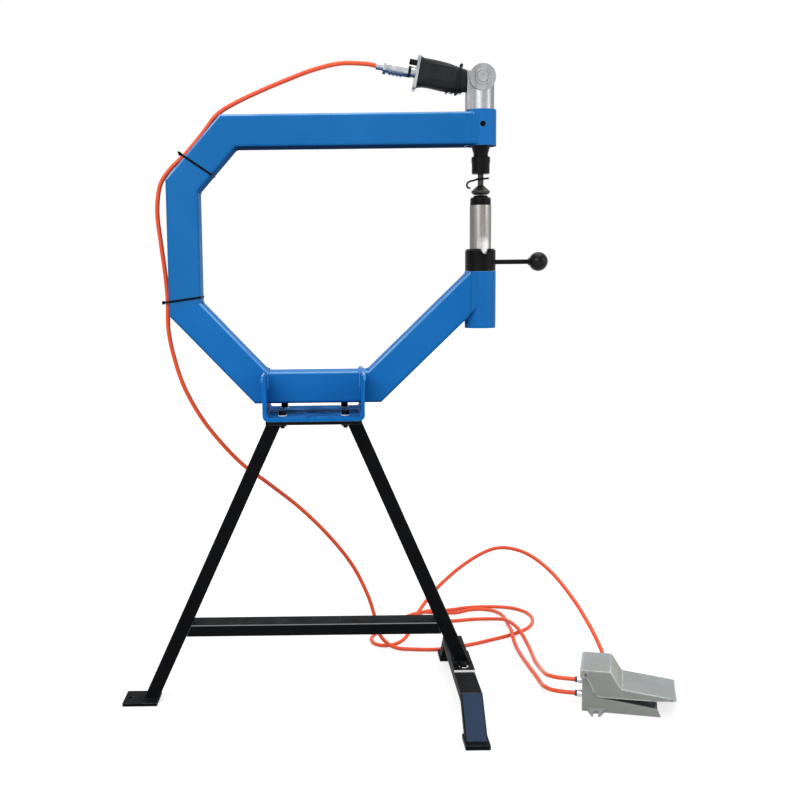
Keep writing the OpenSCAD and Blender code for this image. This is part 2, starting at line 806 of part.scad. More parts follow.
module cross_foot_beam() {
  m = foot_mitre();
  color(black) across(1)
    run_between([-cross_level, foot_mid], foot_turn, [-m[0], m[1]], m, cross_h, cross_w, leg_r, leg_wall);
}

module foot_bend(side) {
  level_cut = [cross_h, 0];
  low = foot_turn + (foot_drop - foot_turn) * (foot_mid - end_plate_t) / (foot_turn[1] - foot_drop[1]);
  color(black) across(side)
    run_between(foot_turn, low, foot_mitre(), level_cut, cross_h, cross_w, leg_r, leg_wall);
}

module front_foot_bend() {
  foot_bend(-1);
}

module rear_foot_bend() {
  foot_bend(1);
}

module foot_end_plates() {
  color(black) for (side = [-1, 1]) across(side)
    translate([cross_tip - plate_lap, -cross_w / 2 - plate_edge, 0])
      cube([end_plate_len, cross_w + 2 * plate_edge, end_plate_t]);
}

module leg_flange() {
  color(black) difference() {
    translate([cross_x - cross_w / 2, -leg_flange_len / 2, cross_z])
      cube([cross_w, leg_flange_len, leg_flange_t]);
    for_flange_screws() translate([0, 0, -over]) cylinder(d = screw_d, h = leg_flange_t + 2 * over);
  }
}

module for_flange_screws() {
  inset = leg_flange_len / 2 - screw_d * 2;
  for (s = [-1, 1]) translate([cross_x, s * inset, cross_z]) children();
}

module flange_screws() {
  head_z = leg_flange_t + saddle_washer_t;
  head_h = screw_d * low_head_h_share;
  color(black) for_flange_screws() {
    cylinder(d = screw_d - 2 * run_fit, h = head_z);
    translate([0, 0, leg_flange_t]) cylinder(d = screw_d * washer_d_share, h = saddle_washer_t);
    translate([0, 0, head_z]) difference() {
      cylinder(d = screw_d * low_head_share, h = head_h);
      translate([0, 0, head_h / 2]) cylinder(d = screw_d * low_head_h_share, h = head_h, $fn = 6);
    }
  }
}

// Air hammer
module hammer_head() {
  chest_len = head_d + 2 * chest_proud;
  flange_w = head_d * flange_share;
  color(silver) difference() {
    union() {
      on_axis(socket_top) cylinder(d = head_d, h = head_h - head_d / 2);
      on_axis(chest_z) rotate([90, 0, 0]) cylinder(d = head_d, h = chest_len, center = true);
      translate([handle_x, -flange_w / 2, socket_top]) cube([head_d / 2, flange_w, flange_h]);
    }
    on_axis(socket_top - over) cylinder(d = barrel_d + 2 * run_fit, h = barrel_top - socket_top + over);
    on_axis(chest_z) rotate([90, 0, 0]) translate([0, 0, chest_len / 2 - plug_seat])
      cylinder(d = boss_d, h = chest_len);
  }
}

// Turned plug with rings in the front of the valve chest
module throttle_plug() {
  front = head_d / 2 + chest_proud;
  hub_d = boss_d * plug_hub_share;
  fit_d = boss_d - 2 * run_fit;
  color(silver) on_axis(chest_z) rotate([90, 0, 0]) translate([0, 0, front - plug_seat]) difference() {
    union() {
      cylinder(d = fit_d, h = plug_seat);
      translate([0, 0, plug_seat]) cylinder(d1 = fit_d, d2 = fit_d - 2 * plug_groove, h = plug_groove);
      translate([0, 0, plug_seat]) cylinder(d = hub_d, h = 2 * plug_groove);
    }
    translate([0, 0, plug_seat]) difference() {
      cylinder(d = hub_d + 4 * plug_groove, h = 2 * plug_groove);
      translate([0, 0, -over]) cylinder(d = hub_d, h = plug_seat + plug_groove);
    }
    translate([0, 0, plug_seat + plug_groove]) cylinder(d = hub_d / 2, h = 2 * plug_groove);
  }
}

module hammer_barrel() {
  r = barrel_d / 2;
  nose_r = barrel_nose_d / 2;
  color(black) on_axis(0) difference() {
    rotate_extrude() polygon([[0, nose_z], [nose_r, nose_z], [nose_r, nose_z + barrel_nose_len],
      [r - barrel_step, socket_bottom - clear], [r, socket_bottom], [r, barrel_top - over],
      [0, barrel_top - over]]);
    translate([0, 0, bore_floor]) cylinder(d = piston_d, h = barrel_top);
    translate([0, 0, nose_z - over]) cylinder(d = shank_d + 2 * run_fit, h = barrel_top);
  }
}

module piston() {
  edge = 1.5;
  r = piston_d / 2 - run_fit;
  color(silver) on_axis(piston_z) rotate_extrude() polygon([[0, 0], [r - edge, 0], [r, edge],
    [r, piston_len - edge], [r - edge, piston_len], [0, piston_len]]);
}

module die_retainer() {
  r = retainer_d / 2;
  edge = 1.6;
  rib_h = 4;
  cavity_d = bead_d + bead_room;
  color(black) on_axis(retainer_bottom) difference() {
    rotate_extrude() polygon([[0, 0], [r - edge, 0], [r - edge / 2, edge],
      [r - edge / 2, retainer_h - 3 * rib_h], [r, retainer_h - 5 * rib_h / 2],
      [r, retainer_h - edge], [r - edge, retainer_h], [0, retainer_h]]);
    translate([0, 0, -over]) cylinder(d = shank_d + 4 * clear, h = retainer_h);
    translate([0, 0, retainer_lip]) cylinder(d = cavity_d, h = nose_z - retainer_bottom - retainer_lip);
    translate([0, 0, nose_z - retainer_bottom - clear])
      cylinder(d = barrel_nose_d + 2 * run_fit, h = retainer_h);
  }
}

module hammer_die() {
  r = shank_d / 2;
  face_r = die_d / 2;
  edge = 2;
  color(black) on_axis(0) rotate_extrude() polygon([
    [0, die_face_z], [face_r - 2 * edge, die_face_z], [face_r - edge / 2, die_face_z + edge],
    [face_r, die_face_z + 2 * edge], [face_r, die_face_z + die_disc_h],
    [r, die_face_z + die_disc_h + die_cone_h], [r, bead_z], [bead_d / 2, bead_z],
    [bead_d / 2, bead_z + bead_h], [r, bead_z + bead_h], [r, shank_top - r / 2],
    [r / 2, shank_top], [0, shank_top]]);
}

// Wire that snaps round the shank, with a hooked tail
module die_wire_clip() {
  wire_r = clip_wire_d / 2;
  ring_r = shank_d / 2 + wire_r;
  ring_z = retainer_bottom - clip_drop;
  tail = [for (s = clip_shares) s * ring_r];
  sides = 8;
  color(black) on_axis(ring_z) {
    difference() {
      rotate_extrude() translate([ring_r, 0]) circle(wire_r, $fn = 16);
      translate([0, ring_r, 0]) cube(ring_r, center = true);
    }
    swept_tube(tail, wire_r, sides);
  }
}

// Everything ahead of the face that the handle is bolted against
module ahead_of_flange() {
  translate([handle_x, -head_d, socket_top]) cube([head_d, 2 * head_d, 2 * head_h]);
}

// Room for the trigger under the handle, from z up by the height
module trigger_slot(z, height) {
  slot_w = trigger_w + 2 * clear;
  length = trigger_slot_len + root_lap + over;
  translate([-trigger_slot_len, -slot_w / 2, z]) cube([length, slot_w, height]);
}

module handle_core() {
  color(silver) difference() {
    in_handle() difference() {
      translate([-grip_len, -core_w / 2, -core_h / 2]) cube([grip_len + root_lap, core_w, core_h]);
      trigger_slot(-core_h, core_h * slot_share);
      translate([-trigger_slot_len, 0, inlet_z]) rotate([0, -90, 0]) cylinder(d = core_h / 3, h = grip_len);
    }
    ahead_of_flange();
  }
}

// Moulded grip: oval sections that swell towards the end plate
grip_shares = [[-0.06, 1, 0.94], [0.08, 1.06, 1], [0.25, 1.17, 1], [0.4, 1.3, 1], [0.58, 1.33, 1],
  [0.75, 1.31, 0.97], [0.9, 1.31, 0.97], [0.96, 1.36, 1.02], [1, 1.46, 1.1]];
grip_sides = 28;
grip_power = 0.55;
grip_swell_share = 0.2;
function signed_pow(v, p) = sign(v) * pow(abs(v), p);
function grip_ring(s) =
  let (grow = (grip_end_h - grip_root_h) * s[0] * grip_swell_share,
    h = (grip_root_h * s[1] + grow) / 2, w = grip_w * s[2] / 2)
  [for (k = [0 : grip_sides - 1]) let (a = 360 * k / grip_sides)
    [-grip_len * s[0], w * signed_pow(cos(a), grip_power), h * signed_pow(sin(a), grip_power)]];
module grip_sleeve() {
  rings = [for (s = grip_shares) grip_ring(s)];
  last = (len(rings) - 1) * grip_sides;
  faces = [for (i = [0 : len(rings) - 2], k = [0 : grip_sides - 1])
    let (a = i * grip_sides + k, b = i * grip_sides + (k + 1) % grip_sides)
    each [[a, b, a + grip_sides], [b, b + grip_sides, a + grip_sides]]];
  start = [for (k = [1 : grip_sides - 2]) [0, k + 1, k]];
  finish = [for (k = [1 : grip_sides - 2]) [last, last + k, last + k + 1]];
  bore_len = grip_len + root_lap + 2 * over;
  color(black) difference() {
    in_handle() difference() {
      polyhedron([for (r = rings) each r], concat(faces, start, finish));
      translate([-grip_len - over, -core_w / 2, -core_h / 2]) cube([bore_len, core_w, core_h]);
      trigger_slot(-grip_root_h, grip_root_h);
      translate([trigger_pivot_x, 0, trigger_pivot_z]) rotate([90, 0, 0])
        cylinder(d = trigger_pin_d, h = trigger_pin_len, center = true);
    }
    ahead_of_flange();
  }
}

module handle_end_plate() {
  corner = 8;
  color(silver) in_handle() difference() {
    translate([-grip_len, 0, plate_low + plate_h / 2]) rotate([0, -90, 0])
      linear_extrude(plate_t) square_round(plate_h, plate_w, corner);
    translate([-grip_len + over, 0, inlet_z]) rotate([0, -90, 0])
      cylinder(d = inlet_d / 2, h = plate_t + 2 * over);
    translate([-grip_len + over, 0, regulator_z]) rotate([0, -90, 0])
      cylinder(d = regulator_d / 2 + 2 * run_fit, h = plate_t + 2 * over);
  }
}

// Trigger lever under the grip, hinged near the head, with finger scallops
module trigger() {
  scallop_r = 4;
  scallop_shares = [0.24, 0.62];
  back = trigger_pivot_x - trigger_len;
  color(black) in_handle() difference() {
    union() {
      translate([trigger_pivot_x, 0, trigger_pivot_z]) rotate([90, 0, 0])
        cylinder(d = trigger_eye_share * trigger_pin_d, h = trigger_w, center = true);
      upright(trigger_w) polygon([[back, trigger_low], [trigger_pivot_x, trigger_low + trigger_rise],
        [trigger_pivot_x + trigger_pin_d, trigger_pivot_z],
        [trigger_pivot_x, trigger_pivot_z + trigger_pin_d], [back, trigger_pivot_z + trigger_pin_d]]);
    }
    for (s = scallop_shares)
      translate([back + s * trigger_len, 0, trigger_low + s * trigger_rise - scallop_r / 2])
        rotate([90, 0, 0]) cylinder(r = scallop_r, h = 2 * trigger_w, center = true);
    translate([trigger_pivot_x, 0, trigger_pivot_z]) rotate([90, 0, 0])
      cylinder(d = trigger_pin_d + 2 * run_fit, h = 2 * trigger_w, center = true);
  }
}

module trigger_pin() {
  color(silver) in_handle() translate([trigger_pivot_x, 0, trigger_pivot_z]) rotate([90, 0, 0])
    cylinder(d = trigger_pin_d, h = trigger_pin_len, center = true);
}

// Cable tie strapped round grip and trigger
module grip_tie() {
  up = grip_root_h * tie_top_share + strap_t;
  half = grip_w / 2;
  mid = (up - tie_low) / 2;
  corner = half * tie_round_share;
  color(black) in_handle() translate([tie_x, 0, 0]) {
    rotate([90, 0, 90]) linear_extrude(strap_w, center = true) difference() {
      translate([0, mid]) square_round(2 * half + 2 * strap_t, up + tie_low + 2 * strap_t, corner);
      translate([0, mid]) square_round(2 * half, up + tie_low, corner - strap_t);
    }
    translate([-strap_head / 2, -half / 2, up + strap_t - clear])
      cube([strap_head, strap_head, strap_head * tie_head_share]);
    translate([-strap_w / 4, -half / 2 + strap_head / 3, up])
      cube([strap_w / 2, strap_t, strap_head * head_share]);
  }
}

module regulator_knob() {
  flutes = 12;
  stem = plate_t - over;
  color(black) in_handle() {
    handle_round(plate_x + stem, regulator_z, regulator_d / 2, stem + over);
    translate([plate_x - clear, 0, regulator_z]) rotate([0, -90, 0]) difference() {
      cylinder(d = regulator_d, h = regulator_len);
      for (i = [0 : flutes - 1]) rotate([0, 0, i * 360 / flutes])
        translate([regulator_d / 2 + flute_out, 0, flute_from])
          cylinder(r = flute_r, h = regulator_len, $fn = 16);
    }
  }
}

// Inlet bushing, hex and plug of the quick coupling
module inlet_nipple() {
  color(silver) in_handle() difference() {
    union() {
      handle_round(plate_x, inlet_z, inlet_d, inlet_len);
      handle_round(plate_x - inlet_len, inlet_z, inlet_d * nipple_share, ring_len);
      translate([plate_x - inlet_len - ring_len, 0, inlet_z]) rotate([0, -90, 0])
        cylinder(d = inlet_d * hex_d_share, h = hex_len, $fn = 6);
      handle_round(plate_x - inlet_len - ring_len - hex_len, inlet_z, inlet_d / 2, plug_reach);
    }
    handle_round(plate_x + over, inlet_z, inlet_d * bore_share, grip_len);
  }
}

module inlet_ring() {
  color(black) in_handle() difference() {
    handle_round(plate_x - inlet_len, inlet_z, ring_d, ring_len);
    handle_round(plate_x - inlet_len + over, inlet_z, inlet_d * nipple_share, ring_len + 2 * over);
  }
}

coupler_x = plate_x - inlet_len - ring_len - hex_len;
sleeve_x = coupler_x - clear;
module coupler_body() {
  tail_x = coupler_x - coupler_len;
  collar_stop = sleeve_x - sleeve_len - sleeve_travel - clear;
  color(silver) in_handle() difference() {
    union() {
      handle_round(coupler_x, inlet_z, coupler_body_d, coupler_len);
      translate([collar_stop, 0, inlet_z]) rotate([0, -90, 0])
        cylinder(d = sleeve_d, h = collar_stop - tail_x, $fn = 6);
      handle_round(tail_x, inlet_z, tail_d, tail_len);
    }
    handle_round(coupler_x + over, inlet_z, inlet_d / 2 + 2 * run_fit, plug_reach + 2 * over);
    handle_round(coupler_x, inlet_z, inlet_d * bore_share, coupler_len);
    handle_round(tail_x - tail_len / 3, inlet_z, hose_d + 2 * clear, tail_len);
  }
}

// Sliding sleeve of the coupling: pulled back along the handle to let the plug go
module coupler_sleeve() {
  ridge = 1.2;
  ridges = 4;
  color(silver) in_handle() difference() {
    union() {
      handle_round(sleeve_x, inlet_z, sleeve_d - 2 * ridge, sleeve_len);
      for (i = [0 : ridges - 1])
        handle_round(sleeve_x - (i + ridge_share) * sleeve_len / ridges, inlet_z, sleeve_d,
          sleeve_len / ridges / 2);
    }
    handle_round(coupler_x + over, inlet_z, coupler_body_d + 2 * run_fit, sleeve_len + 2 * over);
  }
}

// Anvil and cam
module anvil_post() {
  edge = 1;
  color(silver) on_axis(0) difference() {
    translate([0, 0, post_bottom]) cylinder(d = post_d, h = post_top - post_bottom);
    translate([0, 0, post_top - spigot_h - over])
      cylinder(d = spigot_d + 2 * run_fit, h = spigot_h + 2 * over);
    translate([0, 0, pin_z]) rotate([0, 90, pin_turn])
      cylinder(d = cross_pin_d, h = 2 * post_d, center = true);
    translate([-key_screw_d / 2 - run_fit, post_d / 2 - key_depth, key_z - key_screw_d / 2 - edge])
      cube([key_screw_d + 2 * run_fit, key_depth + over, key_screw_d + 2 * edge + anvil_drop]);
  }
}

module cross_pin() {
  color(silver) on_axis(pin_z) rotate([0, 90, pin_turn])
    cylinder(d = cross_pin_d, h = 2 * pin_end_r, center = true);
}

module anvil_die() {
  r = anvil_d / 2;
  edge = 3;
  spigot_r = spigot_d / 2;
  spigot_bottom = post_top - spigot_h;
  color(black) on_axis(0) rotate_extrude() polygon([[0, spigot_bottom], [spigot_r, spigot_bottom],
    [spigot_r, post_top], [r, post_top], [r, post_top + anvil_h - edge],
    [r - edge / 3, post_top + anvil_h - edge / 3], [r - edge, post_top + anvil_h],
    [crown_d / 2, post_top + anvil_h], [crown_d / 2 - edge / 2, anvil_top - edge / 5],
    [crown_d / 4, anvil_top], [0, anvil_top]]);
}

// Helical groove swept round the post axis, seen from the collar
function groove_ring(i) =
  let (a = -groove_margin + (lever_swing + 2 * groove_margin) * i / groove_steps,
    swing = min(max(a, 0), lever_swing), z = pin_z - collar_z - swing * groove_step_z, turn = pin_turn - a)
  [for (q = [[0, -1], [1, -1], [1, 1], [0, 1]])
    let (r = q[0] == 0 ? post_d / 2 - over : groove_r)
    [r * cos(turn), r * sin(turn), z + q[1] * groove_half]];
module cam_groove() {
  groove_sides = 4;
  last = groove_steps * groove_sides;
  points = [for (i = [0 : groove_steps]) each groove_ring(i)];
  walls = [for (i = [0 : groove_steps - 1], k = [0 : groove_sides - 1])
    let (a = i * groove_sides + k, b = i * groove_sides + (k + 1) % groove_sides)
    each [[a, a + groove_sides, b], [b, a + groove_sides, b + groove_sides]]];
  ends = [[0, 1, 2], [0, 2, 3], [last, last + 2, last + 1], [last, last + 3, last + 2]];
  polyhedron(points, concat(walls, ends));
}

module cam_collar() {
  r = collar_d / 2;
  color(black) on_axis(collar_z) difference() {
    rotate_extrude() polygon([[0, 0], [r, 0], [r, collar_h - collar_chamfer], [r - collar_chamfer, collar_h],
      [0, collar_h]]);
    translate([0, 0, -over]) cylinder(d = post_d + 2 * run_fit, h = collar_h + 2 * over);
    cam_groove();
    rotate([0, 0, half_turn]) cam_groove();
    rotate([0, 0, notch_turn]) translate([0, 0, collar_h]) rotate([0, 90, 0])
      cylinder(r = notch_r, h = collar_d);
    translate([r - lever_seat, 0, lever_z - collar_z]) rotate([0, 90, 0])
      cylinder(d = lever_d, h = collar_d);
  }
}

module lever_rod() {
  color(black) on_axis(lever_z) translate([collar_d / 2 - lever_seat, 0, 0]) rotate([0, 90, 0])
    cylinder(d = lever_d, h = lever_seat + lever_len);
}

module ball_knob() {
  neck_d = lever_d * head_share;
  seat = knob_d / 4;
  color(black) on_axis(lever_z) translate([collar_d / 2 + lever_len + knob_d / 2 - seat, 0, 0])
    rotate([0, 90, 0]) difference() {
      union() {
        sphere(d = knob_d);
        translate([0, 0, -knob_d / 2 - over]) cylinder(d = neck_d, h = knob_d / 2);
      }
      translate([0, 0, -knob_d]) cylinder(d = lever_d, h = knob_d / 2 + seat);
    }
}

// Foot valve
module valve_base() {
  y0 = base_side;
  y1 = treadle_w - base_side;
  width = y1 - y0;
  toe_x = valve_base_len - base_toe_lean;
  color(grey) at_valve() difference() {
    union() {
      for (y = [y0, y1 - valve_wall]) valve_side(y, valve_wall) {
        polygon([[0, 0], [valve_base_len, 0], [toe_x, base_toe_z], base_knee, base_bend, base_rise,
          [base_heel_x, base_heel_z], [0, base_heel_z]]);
        translate([pivot_x, pivot_z]) circle(ear_r);
        translate([pivot_x - ear_r, base_heel_z - ear_r]) square([2 * ear_r, pivot_z - base_heel_z + ear_r]);
      }
      translate([0, y0, 0]) cube([toe_x, width, valve_wall]);
      translate([0, y0, 0]) cube([valve_wall, width, base_heel_z]);
      translate([valve_wall, (treadle_w - block_w) / 2, 0]) cube([block_len, block_w, valve_wall + block_h]);
      translate([toe_x - valve_wall, y0, 0]) cube([valve_wall, width, base_toe_z]);
      translate([lug_x, y0, 0]) valve_lug(-1);
      translate([lug_x, y1, 0]) valve_lug(1);
    }
    translate([pivot_x, -over, pivot_z]) rotate([-90, 0, 0]) cylinder(d = pivot_d, h = treadle_w + 2 * over);
    translate([spool_x, treadle_w / 2, valve_wall]) cylinder(d = spool_d + 2 * run_fit, h = block_h + over);
    for (z = [fitting_high_z, fitting_low_z]) translate([-over, fitting_y, z]) rotate([0, 90, 0])
      cylinder(d = fitting_d * fitting_seat_share, h = block_len / 2);
  }
}

// Tapered lug with an open slot for a floor screw
module valve_lug(side) {
  mid = lug_len / 2;
  linear_extrude(lug_t) difference() {
    polygon([[0, -side * over], [lug_len, -side * over], [lug_len - lug_taper, side * lug_reach],
      [lug_taper, side * lug_reach]]);
    translate([mid, side * lug_reach / 2]) circle(d = lug_slot_d);
    translate([mid - lug_slot_d / 2, side * lug_reach - lug_reach / 2]) square([lug_slot_d, lug_reach]);
  }
}

// Spool pushed down by the treadle
module valve_spool() {
  tip_z = hump_h - treadle_t - 2 * clear;
  round_z = tip_z - spool_tip_r;
  color(silver) at_valve() translate([spool_x, treadle_w / 2, 0]) {
    translate([0, 0, spool_bottom]) cylinder(d = spool_d, h = round_z - spool_bottom);
    intersection() {
      translate([0, 0, round_z]) sphere(r = spool_tip_r);
      translate([0, 0, round_z - over]) cylinder(d = spool_d, h = spool_tip_r + 2 * over);
    }
  }
}

// Sheet cover that hinges at the heel and closes over the base
module treadle_outline(inset) {
  toe = treadle_len - treadle_back - inset;
  back = -treadle_back + inset;
  top = hump_h - inset;
  step = instep_x - inset;
  polygon([[back, base_heel_z + treadle_back], [back, top - edge_cut], [back + edge_cut, top],
    [hump_len - edge_cut - inset, top], [hump_len - inset, top - edge_cut],
    [step - edge_cut, instep_z + edge_cut - inset], [step + inset / 2, instep_z - inset],
    [toe, toe_z - inset], [toe, toe_z - toe_lip], skirt_toe, skirt_knee, skirt_bend, skirt_rise, skirt_heel,
    [base_heel_x - ear_r, base_heel_z + treadle_back]]);
}

module treadle() {
  toe = treadle_len - treadle_back - treadle_t;
  back = -treadle_back + treadle_t;
  color(grey) at_valve() difference() {
    valve_side(0, treadle_w) treadle_outline(0);
    valve_side(treadle_t, treadle_w - 2 * treadle_t) union() {
      treadle_outline(treadle_t);
      polygon([[back, 0], [back, base_heel_z + edge_cut + treadle_t],
        [skirt_rise[0], base_heel_z + edge_cut], skirt_knee + [edge_cut, edge_cut],
        skirt_toe + [0, edge_cut], [toe, toe_z - toe_lip], [toe, 0]]);
    }
    translate([pivot_x, -over, pivot_z]) rotate([-90, 0, 0])
      cylinder(d = pivot_d + 2 * run_fit, h = treadle_w + 2 * over);
  }
}

module treadle_pin() {
  color(silver) at_valve() translate([pivot_x, -pivot_proud, pivot_z]) rotate([-90, 0, 0])
    cylinder(d = pivot_d, h = treadle_w + 2 * pivot_proud);
}

// Return spring round the spool, one unbroken coil
function spring_point(t) =
  let (a = 360 * spring_turns * t)
  [spring_r * cos(a), spring_r * sin(a), spring_bottom + (spring_top - spring_bottom) * t];
spring_path = [for (i = [0 : spring_turns * spring_rings]) spring_point(i / (spring_turns * spring_rings))];
spring_gap = min([for (i = [0 : spring_rings * (spring_turns - 1)])
  norm(spring_path[i + spring_rings] - spring_path[i])]) - 2 * spring_wire_r;
echo(least_gap_in_treadle_spring = spring_gap);
module treadle_spring() {
  color(silver) at_valve() translate([spool_x, treadle_w / 2, 0])
    swept_tube(spring_path, spring_wire_r, spring_sides);
}

module for_fittings() {
  for (z = [fitting_high_z, fitting_low_z])
    at_valve() translate([0, fitting_y, z]) rotate([0, -90, 0]) children();
}

module valve_fittings() {
  seat = 8;
  color(silver) for_fittings() difference() {
    union() {
      cylinder(d = fitting_d, h = fitting_len);
      translate([0, 0, -seat]) cylinder(d = fitting_d * fitting_seat_share, h = seat + over);
    }
    translate([0, 0, -seat - over]) cylinder(d = hose_d / 2, h = fitting_len + seat);
    translate([0, 0, fitting_len / 2]) cylinder(d = hose_d + 3 * clear, h = fitting_len);
  }
}

module release_rings() {
  color(black) for_fittings() translate([0, 0, fitting_len]) difference() {
    cylinder(d = collet_d, h = ring_short);
    translate([0, 0, -over]) cylinder(d = hose_d + 3 * clear, h = ring_short + 2 * over);
  }
}

// Hoses and the plug on the supply hose
module hammer_hose() {
  color(orange) swept_tube(hammer_route, hose_d / 2, hose_sides);
}

module supply_hose() {
  color(orange) swept_tube(supply_route, hose_d / 2, hose_sides);
}

module supply_plug() {
  end = supply_route[len(supply_route) - 1];
  color(silver) translate(end) rotate([0, 90, 0]) rotate_extrude()
    polygon([for (s = plug_shares) [s[0] * plug_d / 2, s[1] * plug_len]]);
}

// Straps that hold the hammer hose to the upper corner tube and to the column
module strap(hose_off) {
  loop_r = hose_d / 2 + clear + strap_t;
  linear_extrude(strap_w, center = true) difference() {
    hull() {
      square_round(tube_w + 2 * strap_t, tube_w + 2 * strap_t, tube_r, $fn = hull_fn);
      translate([-tube_h - hose_off, 0]) circle(loop_r, $fn = hull_fn);
    }
    hull() {
      square_round(tube_w + clear, tube_w + clear, tube_r, $fn = hull_fn);
      translate([-tube_h - hose_off, 0]) circle(hose_d / 2 + clear, $fn = hull_fn);
    }
  }
  translate([-tube_h - strap_head / 2, -tube_h - strap_head, -strap_head / 2]) cube(strap_head);
}

module hose_ties() {
  corner_spot = p_upper + (p_arm - p_upper) * corner_tie_share;
  column_spot = p_lower + (p_upper - p_lower) * column_tie_share;
  lean = atan2(p_arm[0] - p_upper[0], p_arm[1] - p_upper[1]);
  color(black) {
    translate([corner_spot[0], 0, corner_spot[1]]) rotate([0, lean, 0]) strap(hose_off_corner);
    translate([column_spot[0], 0, column_spot[1]]) strap(hose_off_column);
  }
}

upper_arm_tube();
upper_corner_tube();
column_tube();
lower_corner_tube();
base_tube();
front_diagonal_tube();
hammer_socket();
post_socket();
clamp_screw();
key_screw();
saddle_bracket();
saddle_screws();
saddle_washers();
saddle_nuts();
stand_top_plate();
left_leg();
right_leg();
crossbar();
left_foot_plate();
cross_foot_beam();
front_foot_bend();
rear_foot_bend();
foot_end_plates();
leg_flange();
flange_screws();
hammer_head();
throttle_plug();
hammer_barrel();
piston();
die_retainer();
hammer_die();
die_wire_clip();
handle_core();
grip_sleeve();
handle_end_plate();
trigger();
trigger_pin();
grip_tie();
regulator_knob();
inlet_nipple();
inlet_ring();
coupler_body();
coupler_sleeve();
anvil_post();
anvil_die();
cross_pin();
cam_collar();
lever_rod();
ball_knob();
valve_base();
valve_spool();
treadle();
treadle_pin();
treadle_spring();
valve_fittings();
release_rings();
hammer_hose();
supply_hose();
supply_plug();
hose_ties();
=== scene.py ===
# %% [markdown]
# # Planishing hammer: dressing the solids
# The solids of the machine come in as a fixed frame. Everything here adds what solids alone cannot show:
# paint, turned steel, rubber, weld beads, hoses that hang as hoses do, and the light of a plain studio.

# %% Load the frame
import json
import math
import random
import bpy
import bmesh
from mathutils import Matrix, Vector


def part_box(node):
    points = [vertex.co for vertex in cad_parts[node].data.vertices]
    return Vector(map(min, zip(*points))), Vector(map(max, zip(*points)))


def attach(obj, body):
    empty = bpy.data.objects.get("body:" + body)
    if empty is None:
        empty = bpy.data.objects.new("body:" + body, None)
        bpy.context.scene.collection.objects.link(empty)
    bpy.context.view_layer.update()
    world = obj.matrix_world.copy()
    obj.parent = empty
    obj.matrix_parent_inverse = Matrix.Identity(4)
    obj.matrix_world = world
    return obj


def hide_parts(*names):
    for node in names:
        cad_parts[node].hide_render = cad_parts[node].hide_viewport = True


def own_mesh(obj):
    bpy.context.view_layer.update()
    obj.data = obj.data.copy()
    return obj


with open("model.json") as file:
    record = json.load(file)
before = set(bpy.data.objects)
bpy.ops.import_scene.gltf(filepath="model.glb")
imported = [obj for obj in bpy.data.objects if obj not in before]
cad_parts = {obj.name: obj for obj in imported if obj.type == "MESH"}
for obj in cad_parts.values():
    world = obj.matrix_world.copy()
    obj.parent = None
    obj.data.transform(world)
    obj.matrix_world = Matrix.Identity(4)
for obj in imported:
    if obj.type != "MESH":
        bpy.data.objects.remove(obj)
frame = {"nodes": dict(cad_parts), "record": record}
nodes = frame["nodes"]
scene = bpy.context.scene
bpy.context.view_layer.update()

# %% [markdown]
# The camera stands two metres in front of the frame's middle plane, a little above half height, and looks
# slightly down. Its sensor is shifted sideways because the picture is a cut from a wider one. Building the
# camera's axes by hand keeps the small roll of the picture.

# %% Camera
PICTURE_PX = 800
CUT_SHIFT_PX = (71.5, 2.2)
cam_place = Vector((-0.1231, -2.0, 0.7989))
cam_pitch = 0.12004
cam_roll = -0.011976
look = Vector((0.0, math.cos(cam_pitch), -math.sin(cam_pitch)))
level = Vector((1.0, 0.0, 0.0))
upward = Vector((0.0, math.sin(cam_pitch), math.cos(cam_pitch)))
cam_right = level * math.cos(cam_roll) + upward * math.sin(cam_roll)
cam_up = upward * math.cos(cam_roll) - level * math.sin(cam_roll)
camera_data = bpy.data.cameras.new("studio_camera")
camera = bpy.data.objects.new("studio_camera", camera_data)
scene.collection.objects.link(camera)
axes = Matrix((cam_right, cam_up, -look)).transposed().to_4x4()
camera.matrix_world = Matrix.Translation(cam_place) @ axes
camera_data.sensor_width = 36.0
camera_data.lens = 50.0
camera_data.shift_x, camera_data.shift_y = (shift / PICTURE_PX for shift in CUT_SHIFT_PX)
camera_data.clip_end = 50.0
scene.camera = camera
print("camera at", tuple(cam_place))

# %% [markdown]
# Both air hoses are one smooth curve each through points chosen along their way. The handles of each point
# follow its neighbours, so the curve never kinks. The hose skin is given to it further down.

